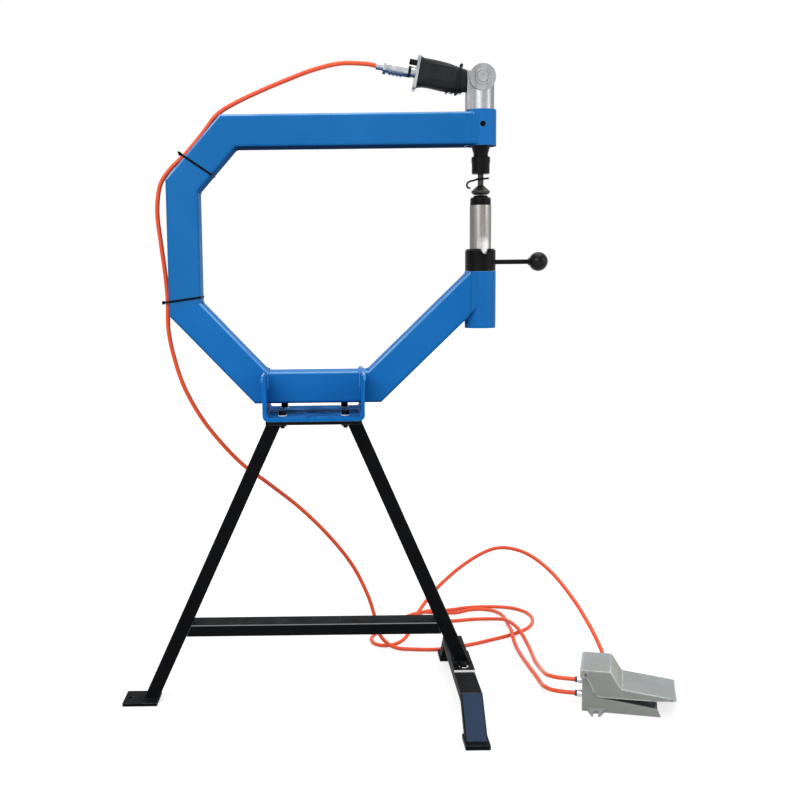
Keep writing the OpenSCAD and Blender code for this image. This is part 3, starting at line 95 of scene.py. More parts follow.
# %% Air hoses
MM = 0.001
HOSE_D = 8 * MM
hammer_route = [
    (-30, 0, 1149), (-52, 0, 1153), (-96, 0, 1154), (-142, 0, 1144), (-190, 0, 1127), (-240, 0, 1107),
    (-284, 0, 1087), (-313, 0, 1069), (-340, 0, 1036), (-371, 0, 1001), (-396, 0, 978), (-414, 0, 954),
    (-421, 0, 928), (-423, 0, 895), (-418, 0, 845), (-412, 0, 790), (-409, 0, 746), (-409, 0, 690),
    (-399, 3, 635), (-383, 12, 582), (-349, 32, 515), (-292, 62, 440), (-237, 90, 390), (-180, 125, 335),
    (-123, 160, 268), (-78, 195, 200), (-47, 222, 130), (-32, 240, 78), (-20, 249, 34), (8, 252, 8.5),
    (50, 248, 4.5), (105, 247, 4.5), (165, 270, 4.5), (222, 303, 4.5), (276, 340, 4.5), (314, 382, 4.5),
    (332, 434, 4.5), (327, 488, 4.5), (298, 523, 4.5), (250, 535, 4.5), (198, 530, 4.5), (150, 513, 4.5),
    (108, 510, 4.5), (86, 495, 4.5), (78, 469, 4.5), (88, 444, 4.5), (112, 431, 4.5), (154, 433, 4.5),
    (202, 443, 4.5), (238, 436, 7), (264, 408, 14), (279, 370, 15), (287, 325, 12), (291, 280, 6),
    (291, 230, 4.5), (288, 170, 6), (286, 110, 14), (281, 58, 27), (279, 12, 37), (284, -6, 40),
    (296, -19, 41.5), (318, -28, 42), (330, -31, 42)]
supply_route = [
    (330, -31, 16), (318, -28, 16), (298, -20, 15.5), (285, -7, 14), (277, 14, 12), (277, 45, 6),
    (275, 90, 4.5), (270, 150, 4.5), (266, 215, 4.5), (265, 270, 6), (266, 310, 12), (268, 345, 14),
    (271, 385, 6), (272, 432, 4.5), (269, 470, 4.5), (256, 500, 4.5), (230, 516, 4.5), (200, 513, 4.5),
    (168, 492, 5), (125, 474, 10), (85, 468, 14.5), (45, 450, 9), (8, 414, 4.5), (-20, 365, 4.5),
    (-36, 321, 5), (-34, 293, 4.5), (-18, 274, 5), (7, 268, 8), (30, 277, 16), (46, 299, 30),
    (57, 319, 48), (86, 348, 80), (122, 370, 112), (176, 384, 152), (228, 386, 180), (264, 378, 186),
    (306, 350, 178), (346, 300, 152), (379, 230, 112), (398, 162, 76), (406, 106, 50), (410, 79, 30),
    (423, 62, 17), (437, 54, 10.5), (458, 51, 7.5), (472, 51, 7)]


def give_place(piece, body, replaced=None):
    """Links a piece, lets it ride a body, and lets it stand in for a node if one is named."""
    scene.collection.objects.link(piece)
    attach(piece, body)
    if replaced:
        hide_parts(replaced)
    return piece


def smooth_curve(name, routes, diameter, body, replaced):
    """A round wire or hose: one smooth spline for each list of points, which are in millimetres.
    The section is a unit circle, and each point's radius brings it to size."""
    data = bpy.data.curves.new(name, "CURVE")
    data.dimensions = "3D"
    data.bevel_depth = 1.0
    data.bevel_resolution = 5
    data.resolution_u = 10
    data.use_fill_caps = True
    for route in routes:
        pts = [Vector(p) * MM for p in route]
        line = data.splines.new("BEZIER")
        line.bezier_points.add(len(pts) - 1)
        for i, bp in enumerate(line.bezier_points):
            before, after = pts[max(i - 1, 0)], pts[min(i + 1, len(pts) - 1)]
            along = (after - before).normalized()
            bp.co = pts[i]
            bp.radius = diameter / 2
            bp.handle_left_type = bp.handle_right_type = "FREE"
            bp.handle_left = pts[i] - along * (pts[i] - before).length / 3
            bp.handle_right = pts[i] + along * (after - pts[i]).length / 3
    return give_place(bpy.data.objects.new(name, data), body, replaced)


hammer_line = smooth_curve("hammer_air_hose", [hammer_route], HOSE_D, "machine", "hammer_hose")
supply_line = smooth_curve("supply_air_hose", [supply_route], HOSE_D, "machine", "supply_hose")

# %% [markdown]
# A weld bead is a low rope of drops that froze one on the other. It could be one long round bar, but then it
# would look machined. Here a ring of points is swept along the seam, its radius swells with every drop and
# wanders a little by seeded chance, and the ends run out thin. Half of the rope lies inside the steel.


# %% Weld beads
RINGS_PER_DROP, FEWEST_RINGS = 6, 8
SWELL, WANDER = 0.16, 0.03
THIN_END, RUN_OUT_RINGS = 0.45, 5


def bead_rings(path, radius, drop, luck):
    """Centres, directions and radii of the rings of one bead, every sixth of a drop along the path."""
    pts = [Vector(p) * MM for p in path]
    lengths = [(b - a).length for a, b in zip(pts, pts[1:])]
    total, step = sum(lengths), drop * MM / RINGS_PER_DROP
    count = max(int(total / step), FEWEST_RINGS)
    rings = []
    for i in range(count + 1):
        s, k = total * i / count, 0
        while k < len(lengths) - 1 and s > lengths[k]:
            s -= lengths[k]
            k += 1
        along = (pts[k + 1] - pts[k]).normalized()
        ripple = SWELL * abs(math.sin(math.pi * i / RINGS_PER_DROP))
        swell = 1 - SWELL + ripple + luck.uniform(-WANDER, WANDER)
        run_out = min(1.0, THIN_END + (1 - THIN_END) * min(i, count - i) / RUN_OUT_RINGS)
        rings.append((pts[k] + along * s, along, radius * MM * swell * run_out))
    return rings


def skin_loops(bm, loops, ends=True):
    """Joins each loop of corners to the next one with quads, and closes both ends if asked."""
    for a, b in zip(loops, loops[1:]):
        for k in range(len(a)):
            j = (k + 1) % len(a)
            bm.faces.new((a[k], a[j], b[j], b[k]))
    if ends:
        bm.faces.new(list(reversed(loops[0])))
        bm.faces.new(loops[-1])


def sweep_rings(bm, rings, sides=10):
    """Skins rings, each a (centre, direction, radius), into a tube that is closed at both ends."""
    loops, side = [], None
    for place, along, r in rings:
        if side is None:
            side = along.orthogonal().normalized()
        side = (side - along * side.dot(along)).normalized()
        other = along.cross(side)
        turn = [2 * math.pi * k / sides for k in range(sides)]
        loops.append([bm.verts.new(place + (side * math.cos(a) + other * math.sin(a)) * r) for a in turn])
    skin_loops(bm, loops)


def mesh_piece(bm, name, replaced=None, smooth=True):
    """Turns a bmesh into an object that rides the machine; it can stand in for a node."""
    bmesh.ops.recalc_face_normals(bm, faces=bm.faces)
    mesh = bpy.data.meshes.new(name)
    bm.to_mesh(mesh)
    bm.free()
    if smooth:
        mesh.shade_smooth()
    return give_place(bpy.data.objects.new(name, mesh), "machine", replaced)


def weld_piece(name, beads, seed):
    """One object that holds several beads, each given as (path in millimetres, radius, drop)."""
    bm, luck = bmesh.new(), random.Random(seed)
    for path, radius, drop in beads:
        sweep_rings(bm, bead_rings(path, radius, drop, luck))
    return mesh_piece(bm, name)


def mid(node):
    """The middle of a node's box, in millimetres."""
    low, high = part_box(node)
    return (low + high) / 2 / MM


TUBE_HALF, TUBE_ROUND = 28.5, 6.0
axis_x = mid("anvil_post").x
saddle = mid("saddle_bracket")
print("hammer axis at x %.2f mm, saddle at x %.2f mm" % (axis_x, saddle.x))

# %% [markdown]
# On the frame the flat mitre seams are ground smooth, so no bead shows on them. Beads are left where the
# saddle's walls meet the base tube, in the inner corners, and round the two sockets. On the saddle the bead
# runs on over the top of each wall, where it catches the light. The beads in the inner corners lie deeper and
# are as dull as the tubes, so they are a piece of their own with the tubes' finish.

# %% Frame welds
WALL_OUT, WALL_IN, WALL_CREST = 89.3, 82.7, 88.5
ARM_TOP_Z, ARM_UNDER_Z, BASE_TOP_Z = 1066.5, 1009.5, 616.5
COLUMN_IN_X = -347.05
WALL_BEAD, CREST_BEAD, CORNER_BEAD = (2.5, 5), (2.7, 6), (2.2, 5)
saddle_beads = []
for x in (saddle.x - WALL_OUT, saddle.x - WALL_IN, saddle.x + WALL_IN, saddle.x + WALL_OUT):
    for side in (-1, 1):
        y = side * (TUBE_HALF + 0.4)
        path = [(x, y, 584), (x, y, 611.5), (x, side * 26.5, 615.6), (x, side * 18, 616.6)]
        saddle_beads.append((path, *WALL_BEAD))
wall_top, wall_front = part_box("saddle_bracket")[1].z / MM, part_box("saddle_bracket")[0].y / MM
for x in (saddle.x - WALL_CREST, saddle.x + WALL_CREST):
    for side in (-1, 1):
        reach = -side * wall_front
        path = [(x, side * 30, wall_top), (x, side * 62, wall_top), (x, reach * 0.97, wall_top - 0.5),
                (x, reach, wall_top - 4), (x, reach, wall_top - 11)]
        saddle_beads.append((path, *CREST_BEAD))
inner_corners = [(-280.8, ARM_UNDER_Z), (COLUMN_IN_X, 935.1), (COLUMN_IN_X, 740.3), (-230.2, BASE_TOP_Z),
                 (-51.5, BASE_TOP_Z)]
corner_beads = [([(x, -21, z), (x, 21, z)], *CORNER_BEAD) for x, z in inner_corners]


def arc_round_axis(r, start, stop, height, count=14):
    """Points on a level or sloping arc about the hammer's axis; height is called with each point's x."""
    turns = [math.radians(start + (stop - start) * i / count) for i in range(count + 1)]
    spots = [(axis_x + r * math.cos(a), r * math.sin(a)) for a in turns]
    return [(x, y, height(x)) for x, y in spots]


DIAGONAL_FOOT, DIAGONAL_SLOPE = (-40.05, 588), 184 / 191
POST_SOCKET_TOP = 788.5


def diagonal_z(x, side):
    """Height of the front diagonal's top (side 1) or underside (side -1) over x."""
    middle = DIAGONAL_FOOT[1] + (x - DIAGONAL_FOOT[0]) * DIAGONAL_SLOPE
    return middle + side * TUBE_HALF * math.hypot(1, DIAGONAL_SLOPE)


def corner_run(side):
    """The bead's way from the arm's top round its corner to the cheek, beside the hammer socket."""
    return [(axis_x - 20, side * 19.5, 1067), (axis_x - 18.5, side * 23.5, 1066),
            (axis_x - 17, side * 26.6, 1063.6), (axis_x - 16.2, side * 28.3, 1059.5)]


socket_beads = [
    (arc_round_axis(27.6, 136, 224, lambda x: ARM_TOP_Z + 0.5), 2.6, 5),
    (arc_round_axis(27.4, 138, 222, lambda x: ARM_UNDER_Z + 1.1), 1.6, 5),
    (arc_round_axis(28.6, 137, 223, lambda x: min(diagonal_z(x, 1), POST_SOCKET_TOP - 1.1)), 2.3, 5),
    (arc_round_axis(28.2, 138, 222, lambda x: diagonal_z(x, -1) - 0.4), 2.3, 5),
    (corner_run(-1), 2.4, 4.5), (corner_run(1), 2.4, 4.5),
]
frame_welds = weld_piece("frame_weld_beads", saddle_beads + socket_beads, 11)
corner_welds = weld_piece("corner_weld_beads", corner_beads, 13)
print("frame beads:", len(saddle_beads) + len(corner_beads) + len(socket_beads))

# %% [markdown]
# The tube's cheeks stand a little wider than the sockets. Weld metal fills each hollow between them and is
# ground so that cheek and socket run into each other. It is lofted from level sections whose outer line
# leaves the cheek flat and dips to the socket short of the clamp screw. Above and below it rounds off as the
# tube does, and a seeded tremble keeps the grinder's hand.


# %% Ground fillets at the sockets
FILLET_STOP, FILLET_START, FILLET_STEP, FILLET_BED = 6.5, 20.0, 1.5, 2.5
FILLET_COLUMNS, FILLET_LEVELS = 10, 30
EDGE_GAP, TREMBLE = 0.4, 0.03
CHEEK_SINK, DIP_FROM, DIP_RUN = 0.12, 5, 10
HAMMER_SOCKET_R, POST_SOCKET_R = 27.0, 27.5


def soft_step(value, edge, width):
    """Rises smoothly from 0 to 1 over the width round the edge."""
    s = min(max((value - edge) / width + 0.5, 0.0), 1.0)
    return s * s * (3 - 2 * s)


def fillet_outer(u, socket_r, inside):
    """Distance of the ground face from the middle plane, at u before the axis and inside the tube's edge."""
    meet = math.sqrt(socket_r ** 2 - FILLET_STOP ** 2) + 0.05
    flat = meet + (TUBE_HALF - CHEEK_SINK - meet) * soft_step(-u, FILLET_STOP + DIP_FROM, DIP_RUN)
    short = max(TUBE_ROUND - inside, 0)
    return min(flat, TUBE_HALF - TUBE_ROUND + math.sqrt(max(TUBE_ROUND ** 2 - short ** 2, 0)))


def add_fillet(bm, socket_r, side, low, high, cap, lean, luck):
    """Lofts one fillet into a bmesh. low and high give the tube's edges over x, and cap is where it stops."""
    reach = [FILLET_STEP * i - FILLET_START for i in range(FILLET_COLUMNS)]
    loops = []
    for k in range(FILLET_LEVELS + 1):
        share = 0.5 - 0.5 * math.cos(math.pi * k / FILLET_LEVELS)
        outside, inner = [], []
        for u in reach:
            x = axis_x + u
            bottom, top = low(x) + EDGE_GAP, min(high(x), cap) - EDGE_GAP
            z = bottom + (top - bottom) * share
            inside = min(z - low(x), high(x) - z) * lean
            y = fillet_outer(u, socket_r, inside) + luck.uniform(-TREMBLE, TREMBLE)
            outside.append((x, side * y, z))
            inner.append((x, side * math.sqrt((socket_r - FILLET_BED) ** 2 - u * u), z))
        loops.append([bm.verts.new(Vector(c) * MM) for c in outside + inner[::-1]])
    skin_loops(bm, loops)


fillet_bm, fillet_luck = bmesh.new(), random.Random(13)
for side in (-1, 1):
    add_fillet(fillet_bm, HAMMER_SOCKET_R, side, lambda x: ARM_UNDER_Z, lambda x: ARM_TOP_Z, ARM_TOP_Z, 1.0,
               fillet_luck)
    add_fillet(fillet_bm, POST_SOCKET_R, side, lambda x: diagonal_z(x, -1), lambda x: diagonal_z(x, 1),
               POST_SOCKET_TOP, 0.72, fillet_luck)
fillets = mesh_piece(fillet_bm, "ground_socket_fillets")
print("fillet faces:", len(fillets.data.polygons))

# %% [markdown]
# The stand is welded too: each leg all round under the top plate and on its foot, and the crossbar across
# its flats where it butts against the legs. These beads are short and black like the paint over them.

# %% Stand welds
LEG_HALF = 12.5
LEG_TOP_X, LEG_TOP_Z = 69, 529
leg_slopes = {-1: 242 / 523, 1: 199 / 459}
BAR_Z, BAR_EDGE, BAR_BEAD_HALF, BAR_CHEEK = 140, 11.2, 11.5, 10
LEG_BEAD, BAR_BEAD = (2.0, 4.5), (2.2, 4.5)


def ring_round_leg(x, z, slope):
    """A rectangle round a leg's level cut."""
    half = LEG_HALF * math.hypot(1, slope) + 0.4
    y = LEG_HALF + 0.4
    return [(x - half, -y, z), (x + half, -y, z), (x + half, y, z), (x - half, y, z), (x - half, -y, z)]


stand_beads = []
for side, foot_x, foot_z in ((-1, saddle.x - 311, 7.0), (1, saddle.x + 268, 71.0)):
    slope = leg_slopes[side]
    stand_beads.append((ring_round_leg(saddle.x + side * LEG_TOP_X, LEG_TOP_Z - 0.6, slope), *LEG_BEAD))
    stand_beads.append((ring_round_leg(foot_x, foot_z, slope), *LEG_BEAD))
    bar_x = saddle.x + side * (LEG_TOP_X + slope * (LEG_TOP_Z - BAR_Z) - LEG_HALF * math.hypot(1, slope))
    for rise in (BAR_EDGE, -BAR_EDGE):
        x, z = bar_x - side * slope * rise, BAR_Z + rise
        stand_beads.append(([(x, -BAR_BEAD_HALF, z), (x, BAR_BEAD_HALF, z)], *BAR_BEAD))
    shift = side * slope * BAR_CHEEK
    for y in (-LEG_HALF, LEG_HALF):
        path = [(bar_x + shift, y, BAR_Z - BAR_CHEEK), (bar_x - shift, y, BAR_Z + BAR_CHEEK)]
        stand_beads.append((path, *LEG_BEAD))
stand_welds = weld_piece("stand_weld_beads", stand_beads, 12)
print("stand beads:", len(stand_beads))

# %% [markdown]
# The grip is a rubber sleeve, moulded with a raised panel on each cheek and a lip that flares against the end
# plate. A sleeve could be sculpted; here its rings are computed, so that its back, belly and cheeks follow
# three plain lists. A thickness is added at the end, and the slot for the trigger is left open underneath.

# %% Grip sleeve
TILT = math.radians(10.7)
GRIP_END, GRIP_POWER = 85.7, 0.62
grip_root = Vector((axis_x - 26.0, 0, 1121.5))
along_grip = Vector((math.cos(TILT), 0, -math.sin(TILT)))
above_grip = Vector((math.sin(TILT), 0, math.cos(TILT)))
GRIP_BACK = [(0, 18.2), (6, 18.8), (12, 19.3), (18, 20.3), (28, 22.2), (38, 23.8), (50, 24.6), (62, 25.2),
             (74, 25.0), (80, 25.3), (83, 26.4), (GRIP_END, 28.6)]
GRIP_BELLY = [(0, 18.4), (6, 19.8), (12, 20.6), (18, 21.6), (28, 23.6), (38, 24.6), (50, 24.0), (62, 23.2),
              (74, 23.7), (80, 25.0), (83, 27.2), (GRIP_END, 31.8)]
GRIP_CHEEK = [(0, 17.6), (6, 18.3), (18, 18.8), (30, 19.2), (62, 19.0), (76, 18.4), (82, 19.2),
              (GRIP_END, 20.6)]
LIP_LAP, LIP_MIDDLE, LIP_RUN, ROOT_LEN = 3.0, 82.0, 8.0, 22
PANEL_FROM, GRIP_WALL = 0.35, 3.2 * MM


def read_off(table, x):
    """Straight-line reading of a two-column list."""
    for (x0, v0), (x1, v1) in zip(table, table[1:]):
        if x <= x1:
            return v0 + (v1 - v0) * (x - x0) / (x1 - x0)
    return table[-1][1]


def panel_rise(x, z):
    """Height of the moulded panel on a cheek: a rim, a groove inside it, and a field of pips."""
    middle_x, middle_z, half_x, half_z, corner = 45.0, 3.5, 24.0, 13.0, 5.0
    rim, groove, pip, pip_from = 1.3, 0.9, 0.35, 3.6
    dx, dz = abs(x - middle_x) - half_x + corner, abs(z - middle_z) - half_z + corner
    reach = math.hypot(max(dx, 0.0), max(dz, 0.0)) + min(max(dx, dz), 0.0) - corner
    rise = soft_step(-reach, -0.8, 1.4) * rim - soft_step(-reach, 2.2, 1.2) * groove
    if reach < -pip_from:
        rise += pip * (math.sin(x * 2.1 + z * 0.9) * math.sin(z * 2.1 - x * 0.9))
    return rise


def squarish(value):
    """A sine or cosine pushed outwards, which turns a round section into a rounded square one."""
    return math.copysign(abs(value) ** GRIP_POWER, value)


def grip_point(x, turn):
    """A point of the sleeve, x from the root and turn round it, in millimetres of the grip's own axes."""
    c, s = math.cos(turn), math.sin(turn)
    high = read_off(GRIP_BACK if s >= 0 else GRIP_BELLY, x)
    y, z = read_off(GRIP_CHEEK, x) * squarish(c), high * squarish(s)
    if abs(c) > PANEL_FROM:
        y += math.copysign(panel_rise(x, z), c)
    root_lean = math.tan(TILT) * z * max(0.0, 1 - x / ROOT_LEN)
    lap = LIP_LAP * max(0.0, -s) ** 0.5 * soft_step(x, LIP_MIDDLE, LIP_RUN)
    return Vector((-x - root_lean - lap, y, z))


def to_world(local):
    """A point of the grip's own axes, in metres of the scene."""
    return (grip_root + along_grip * local.x + Vector((0, local.y, 0)) + above_grip * local.z) * MM


grip_bm = bmesh.new()
GRIP_SIDES = 112
SLOT_HALF, SLOT_LEN = 7.6, 36.0
FIRST_RING, RING_STEP, RING_COUNT = 0.3, 1.35, 63
stations = [FIRST_RING + RING_STEP * i for i in range(RING_COUNT)] + [GRIP_END]
grip_loops = []
for x in stations:
    turns = [2 * math.pi * (k + 0.5) / GRIP_SIDES for k in range(GRIP_SIDES)]
    grip_loops.append([grip_bm.verts.new(to_world(grip_point(x, a))) for a in turns])
for (x0, a), b in zip(zip(stations, grip_loops), grip_loops[1:]):
    for k in range(GRIP_SIDES):
        j = (k + 1) % GRIP_SIDES
        y = (a[k].co.y + a[j].co.y) / 2 / MM
        under = math.pi < 2 * math.pi * (k + 1) / GRIP_SIDES < 2 * math.pi
        if under and abs(y) < SLOT_HALF and x0 < SLOT_LEN:
            continue
        grip_bm.faces.new((a[k], b[k], b[j], a[j]))
loose = [v for v in grip_bm.verts if not v.link_faces]
bmesh.ops.delete(grip_bm, geom=loose, context="VERTS")
grip = mesh_piece(grip_bm, "moulded_grip", replaced="grip_sleeve")
wall = grip.modifiers.new("sleeve_wall", "SOLIDIFY")
wall.thickness = GRIP_WALL
wall.offset = -1.0
print("grip faces:", len(grip.data.polygons))

# %% [markdown]
# A cable tie is a flat strap, a square head and a cut tail. The strap is a ribbon swept round a closed
# outline: a rounded square for the frame tube with the hose under one side. The straps don't lie square
# across the tubes, so each outline is sheared along its tube.

# %% Cable ties
STRAP_THICK, STRAP_WRAP_R = 1.1, 4.35
HEAD_DEEP, HEAD_WIDE, HEAD_OVER = 4.8, 5.4, 2.2
TAIL_START, TAIL_NARROW, TAIL_LIFT = 2.2, 0.9, 0.15


def rounded_outline(half_a, half_b, r, steps=6):
    """Corner points of a rounded rectangle, in order round it."""
    pts = []
    for sa, sb, start in ((1, 1, 0), (-1, 1, 90), (-1, -1, 180), (1, -1, 270)):
        for i in range(steps + 1):
            t = math.radians(start + 90 * i / steps)
            pts.append((sa * (half_a - r) + r * math.cos(t), sb * (half_b - r) + r * math.sin(t)))
    return pts


def convex_outline(pts):
    """The outline that a tight strap takes round a set of points."""
    pts = sorted(set((round(a, 4), round(b, 4)) for a, b in pts))

    def half(seq):
        out = []
        for p in seq:
            while len(out) > 1 and ((out[-1][0] - out[-2][0]) * (p[1] - out[-2][1])
                                    - (out[-1][1] - out[-2][1]) * (p[0] - out[-2][0])) <= 0:
                out.pop()
            out.append(p)
        return out[:-1]

    return half(pts) + half(reversed(pts))


def box_into(bm, place, axis_a, axis_b, axis_s, size):
    """A small block with its own axes, added to a bmesh."""
    corners = []
    for i in range(8):
        signs = [(1 if i & bit else -1) / 2 for bit in (1, 2, 4)]
        offset = axis_a * size[0] * signs[0] + axis_b * size[1] * signs[1] + axis_s * size[2] * signs[2]
        corners.append(bm.verts.new((place + offset) * MM))
    for quad in ((0, 1, 3, 2), (4, 6, 7, 5), (0, 4, 5, 1), (2, 3, 7, 6), (0, 2, 6, 4), (1, 5, 7, 3)):
        bm.faces.new([corners[i] for i in quad])


def cable_tie(name, outlines, replaced):
    """Ties in one object. Each entry is an outline, its place and three axes, its shear and width, and where
    the head sits and how the tail lies."""
    bm = bmesh.new()
    for outline, place, axis_a, axis_b, axis_s, shear, width, head, tail in outlines:
        centre_a = sum(a for a, b in outline) / len(outline)
        centre_b = sum(b for a, b in outline) / len(outline)
        loops = []
        for a, b in outline:
            out = Vector((a - centre_a, b - centre_b)).normalized()
            loop = []
            for grow, s in ((0.0, -1), (STRAP_THICK, -1), (STRAP_THICK, 1), (0.0, 1)):
                p = place + axis_a * (a + out.x * grow) + axis_b * (b + out.y * grow)
                loop.append(bm.verts.new((p + axis_s * (shear * a + s * width / 2)) * MM))
            loops.append(loop)
        skin_loops(bm, loops + loops[:1], ends=False)
        ha, hb = head
        spot = place + axis_a * ha + axis_b * hb + axis_s * shear * ha
        box_into(bm, spot, axis_a, axis_b, axis_s, (HEAD_DEEP, HEAD_WIDE, width + HEAD_OVER))
        lie = (axis_a * tail[0] + axis_b * tail[1] + axis_s * TAIL_LIFT).normalized()
        across = lie.cross(axis_s).normalized()
        cut_end = spot + lie * (TAIL_START + tail[2] / 2)
        box_into(bm, cut_end, lie, across, lie.cross(across), (tail[2], STRAP_THICK, width * TAIL_NARROW))
    piece = mesh_piece(bm, name, replaced=replaced, smooth=False)
    rounding = piece.modifiers.new("moulded_edges", "BEVEL")
    rounding.width = 0.25 * MM
    rounding.segments = 2
    return piece


def strap_outline(hose_off):
    """A strap pulled round the tube and the hose; a is measured out of the tube on the hose's side."""
    pts = rounded_outline(TUBE_HALF + 0.2, TUBE_HALF + 0.2, TUBE_ROUND)
    for i in range(17):
        t = math.radians(-90 + 180 * i / 16)
        pts.append((TUBE_HALF + hose_off + STRAP_WRAP_R * math.cos(t), STRAP_WRAP_R * math.sin(t)))
    return convex_outline(pts)


ACROSS = Vector((0, 1, 0))
COLUMN_FOOT, COLUMN_HEAD = Vector((-375.55, 0, 729)), Vector((-375.55, 0, 946))
CORNER_WAY = Vector((82, 0, 92))
HOSE_TIE_WIDE, GRIP_TIE_WIDE, BAND_SIDES = 3.8, 3.2, 56
CORNER_TIE_AT, COLUMN_TIE_AT, GRIP_TIE_AT = 0.36, 0.08, -14.0
BAND_CHEEK, BAND_BACK, BAND_BELLY = 19.9, 21.0, 26.2
corner_dir = CORNER_WAY.normalized()
corner_out = Vector((-corner_dir.z, 0, corner_dir.x))
column_dir, column_out = Vector((0, 0, 1)), Vector((-1, 0, 0))
corner_spot = COLUMN_HEAD + CORNER_WAY * CORNER_TIE_AT
column_spot = COLUMN_FOOT + (COLUMN_HEAD - COLUMN_FOOT) * COLUMN_TIE_AT
hose_ties = cable_tie("hose_cable_ties", [
    (strap_outline(4.6), corner_spot, corner_out, ACROSS, corner_dir, -0.13, HOSE_TIE_WIDE,
     (40.6, -2.2), (0.9, -0.4, 3)),
    (strap_outline(5.0), column_spot, column_out, ACROSS, column_dir, -0.136, HOSE_TIE_WIDE,
     (40.8, -2.4), (0.3, 1.0, 5)),
], "hose_ties")
band_turns = [2 * math.pi * (k + 0.5) / BAND_SIDES for k in range(BAND_SIDES)]
grip_band = [(BAND_CHEEK * squarish(math.cos(t)),
              (BAND_BACK if math.sin(t) > 0 else BAND_BELLY) * squarish(math.sin(t))) for t in band_turns]
grip_spot = grip_root + along_grip * GRIP_TIE_AT
grip_strap = cable_tie("grip_cable_tie", [
    (grip_band, grip_spot, ACROSS, above_grip, along_grip, 0.0, GRIP_TIE_WIDE,
     (-8.0, 22.6), (-0.2, 1.0, 2)),
], "grip_tie")
print("ties:", hose_ties.name, grip_strap.name)

# %% [markdown]
# The wire clip that keeps the die from dropping out is one bent spring wire: a ring that snaps round the
# shank and a tail that ends in a hook. As a curve with a round section it stays smooth however close one
# looks.

# %% Wire clip
CLIP_DROP, CLIP_RING_R, CLIP_WIRE_D = 9, 6.2, 3.4 * MM
clip_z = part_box("die_retainer")[0].z / MM - CLIP_DROP
clip_ring = [(axis_x + CLIP_RING_R * math.cos(t), CLIP_RING_R * math.sin(t), clip_z + 0.4)
             for t in (math.radians(-90 + 290 * i / 18) for i in range(19))]
clip_tail = [(13.6, -6.2, 1.2), (6.2, -6.3, 0.5), (0, -6.3, 0), (-6.2, -6.2, -0.6), (-13, -6.0, -2.4),
             (-19.8, -5, -4.0), (-23.8, -4.2, -6.8), (-24.8, -4, -10.8), (-23.0, -4, -14.6),
             (-18.6, -4, -15.6)]
clip_tail = [(axis_x + x, y, clip_z + z) for x, y, z in clip_tail]
wire_clip = smooth_curve("bent_wire_clip", [clip_ring, clip_tail], CLIP_WIRE_D, "die",
                         "die_wire_clip")
print("wire clip at z %.1f mm" % clip_z)

# %% [markdown]
# The treadle's return spring stands round the spool, under the hump. A real spring gets shorter when the
# treadle comes down; this one is a mesh swept along a helix, with a mesh of its own, and nothing here
# squashes it as the treadle turns. A rigid coil would come out through the hump.

# %% Return spring
SPRING_R, SPRING_WIRE_R = 8.0, 0.8
SPRING_TURNS, SPRING_STEPS = 5, 24
spring_low, spring_high = (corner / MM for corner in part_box("treadle_spring"))
spring_mid = mid("treadle_spring")
spring_climb = spring_high.z - spring_low.z - 2 * SPRING_WIRE_R
rise = spring_climb / (2 * math.pi * SPRING_TURNS)
spring_rings = []
for i in range(SPRING_TURNS * SPRING_STEPS + 1):
    share = i / (SPRING_TURNS * SPRING_STEPS)
    turn = 2 * math.pi * SPRING_TURNS * share
    z = spring_low.z + SPRING_WIRE_R + spring_climb * share
    place = Vector((spring_mid.x + SPRING_R * math.cos(turn), spring_mid.y + SPRING_R * math.sin(turn), z))
    along = Vector((-SPRING_R * math.sin(turn), SPRING_R * math.cos(turn), rise)).normalized()
    spring_rings.append((place * MM, along, SPRING_WIRE_R * MM))
spring_bm = bmesh.new()
sweep_rings(spring_bm, spring_rings)
spring = mesh_piece(spring_bm, "coiled_return_spring", replaced="treadle_spring")
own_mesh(spring)
print("spring from z %.1f to %.1f mm" % (spring_low.z, spring_high.z))

# %% [markdown]
# Plain zinc washers lie under the two flange screws of the stand and catch the light as bright rings. Each is
# turned: a section with rounded edges is spun round the screw's axis.

# %% Flange washers
washer_bm = bmesh.new()
flange_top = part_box("leg_flange")[1].z / MM
flange_mid = mid("leg_flange")
FLANGE_SCREW_Y, WASHER_SIDES = 36.0, 40
WASHER_SECTION = [(4.2, 0.0), (8.2, 0.0), (8.7, 0.5), (8.7, 1.5), (8.2, 1.9), (4.2, 1.9)]
for y in (-FLANGE_SCREW_Y, FLANGE_SCREW_Y):
    rings = []
    for k in range(WASHER_SIDES):
        t = 2 * math.pi * k / WASHER_SIDES
        c, s = math.cos(t), math.sin(t)
        rings.append([washer_bm.verts.new(Vector((flange_mid.x + r * c, y + r * s, flange_top + z)) * MM)
                      for r, z in WASHER_SECTION])
    skin_loops(washer_bm, rings + rings[:1], ends=False)
washers = mesh_piece(washer_bm, "flange_washers", smooth=False)
print("washers at z %.1f mm" % flange_top)

# %% [markdown]
# Effects that several finishes share are node groups: a slow drift of tone, the patchy gloss of a handled
# surface, the orange-peel skin of powder coat, the rings that a lathe leaves, long streaks, edges that are
# worn on some finishes and carry a painted highlight on others, and dust, painted top light and painted shade
# on what faces up. Each gives out a colour, a mask or a height, and no shader.


# %% Shared effects
FLOAT, COLOUR = "NodeSocketFloat", "NodeSocketColor"


def feed(tree, node, inputs):
    """Gives a node its inputs: a wire where the value is a socket, and otherwise the plain value."""
    for key, value in inputs.items():
        if isinstance(value, bpy.types.NodeSocket):
            tree.links.new(value, node.inputs[key])
        else:
            node.inputs[key].default_value = value


def add_node(tree, kind, inputs, **settings):
    """A new shader node with its settings and its inputs."""
    node = tree.nodes.new("ShaderNode" + kind)
    for key, value in settings.items():
        setattr(node, key, value)
    feed(tree, node, inputs)
    return node


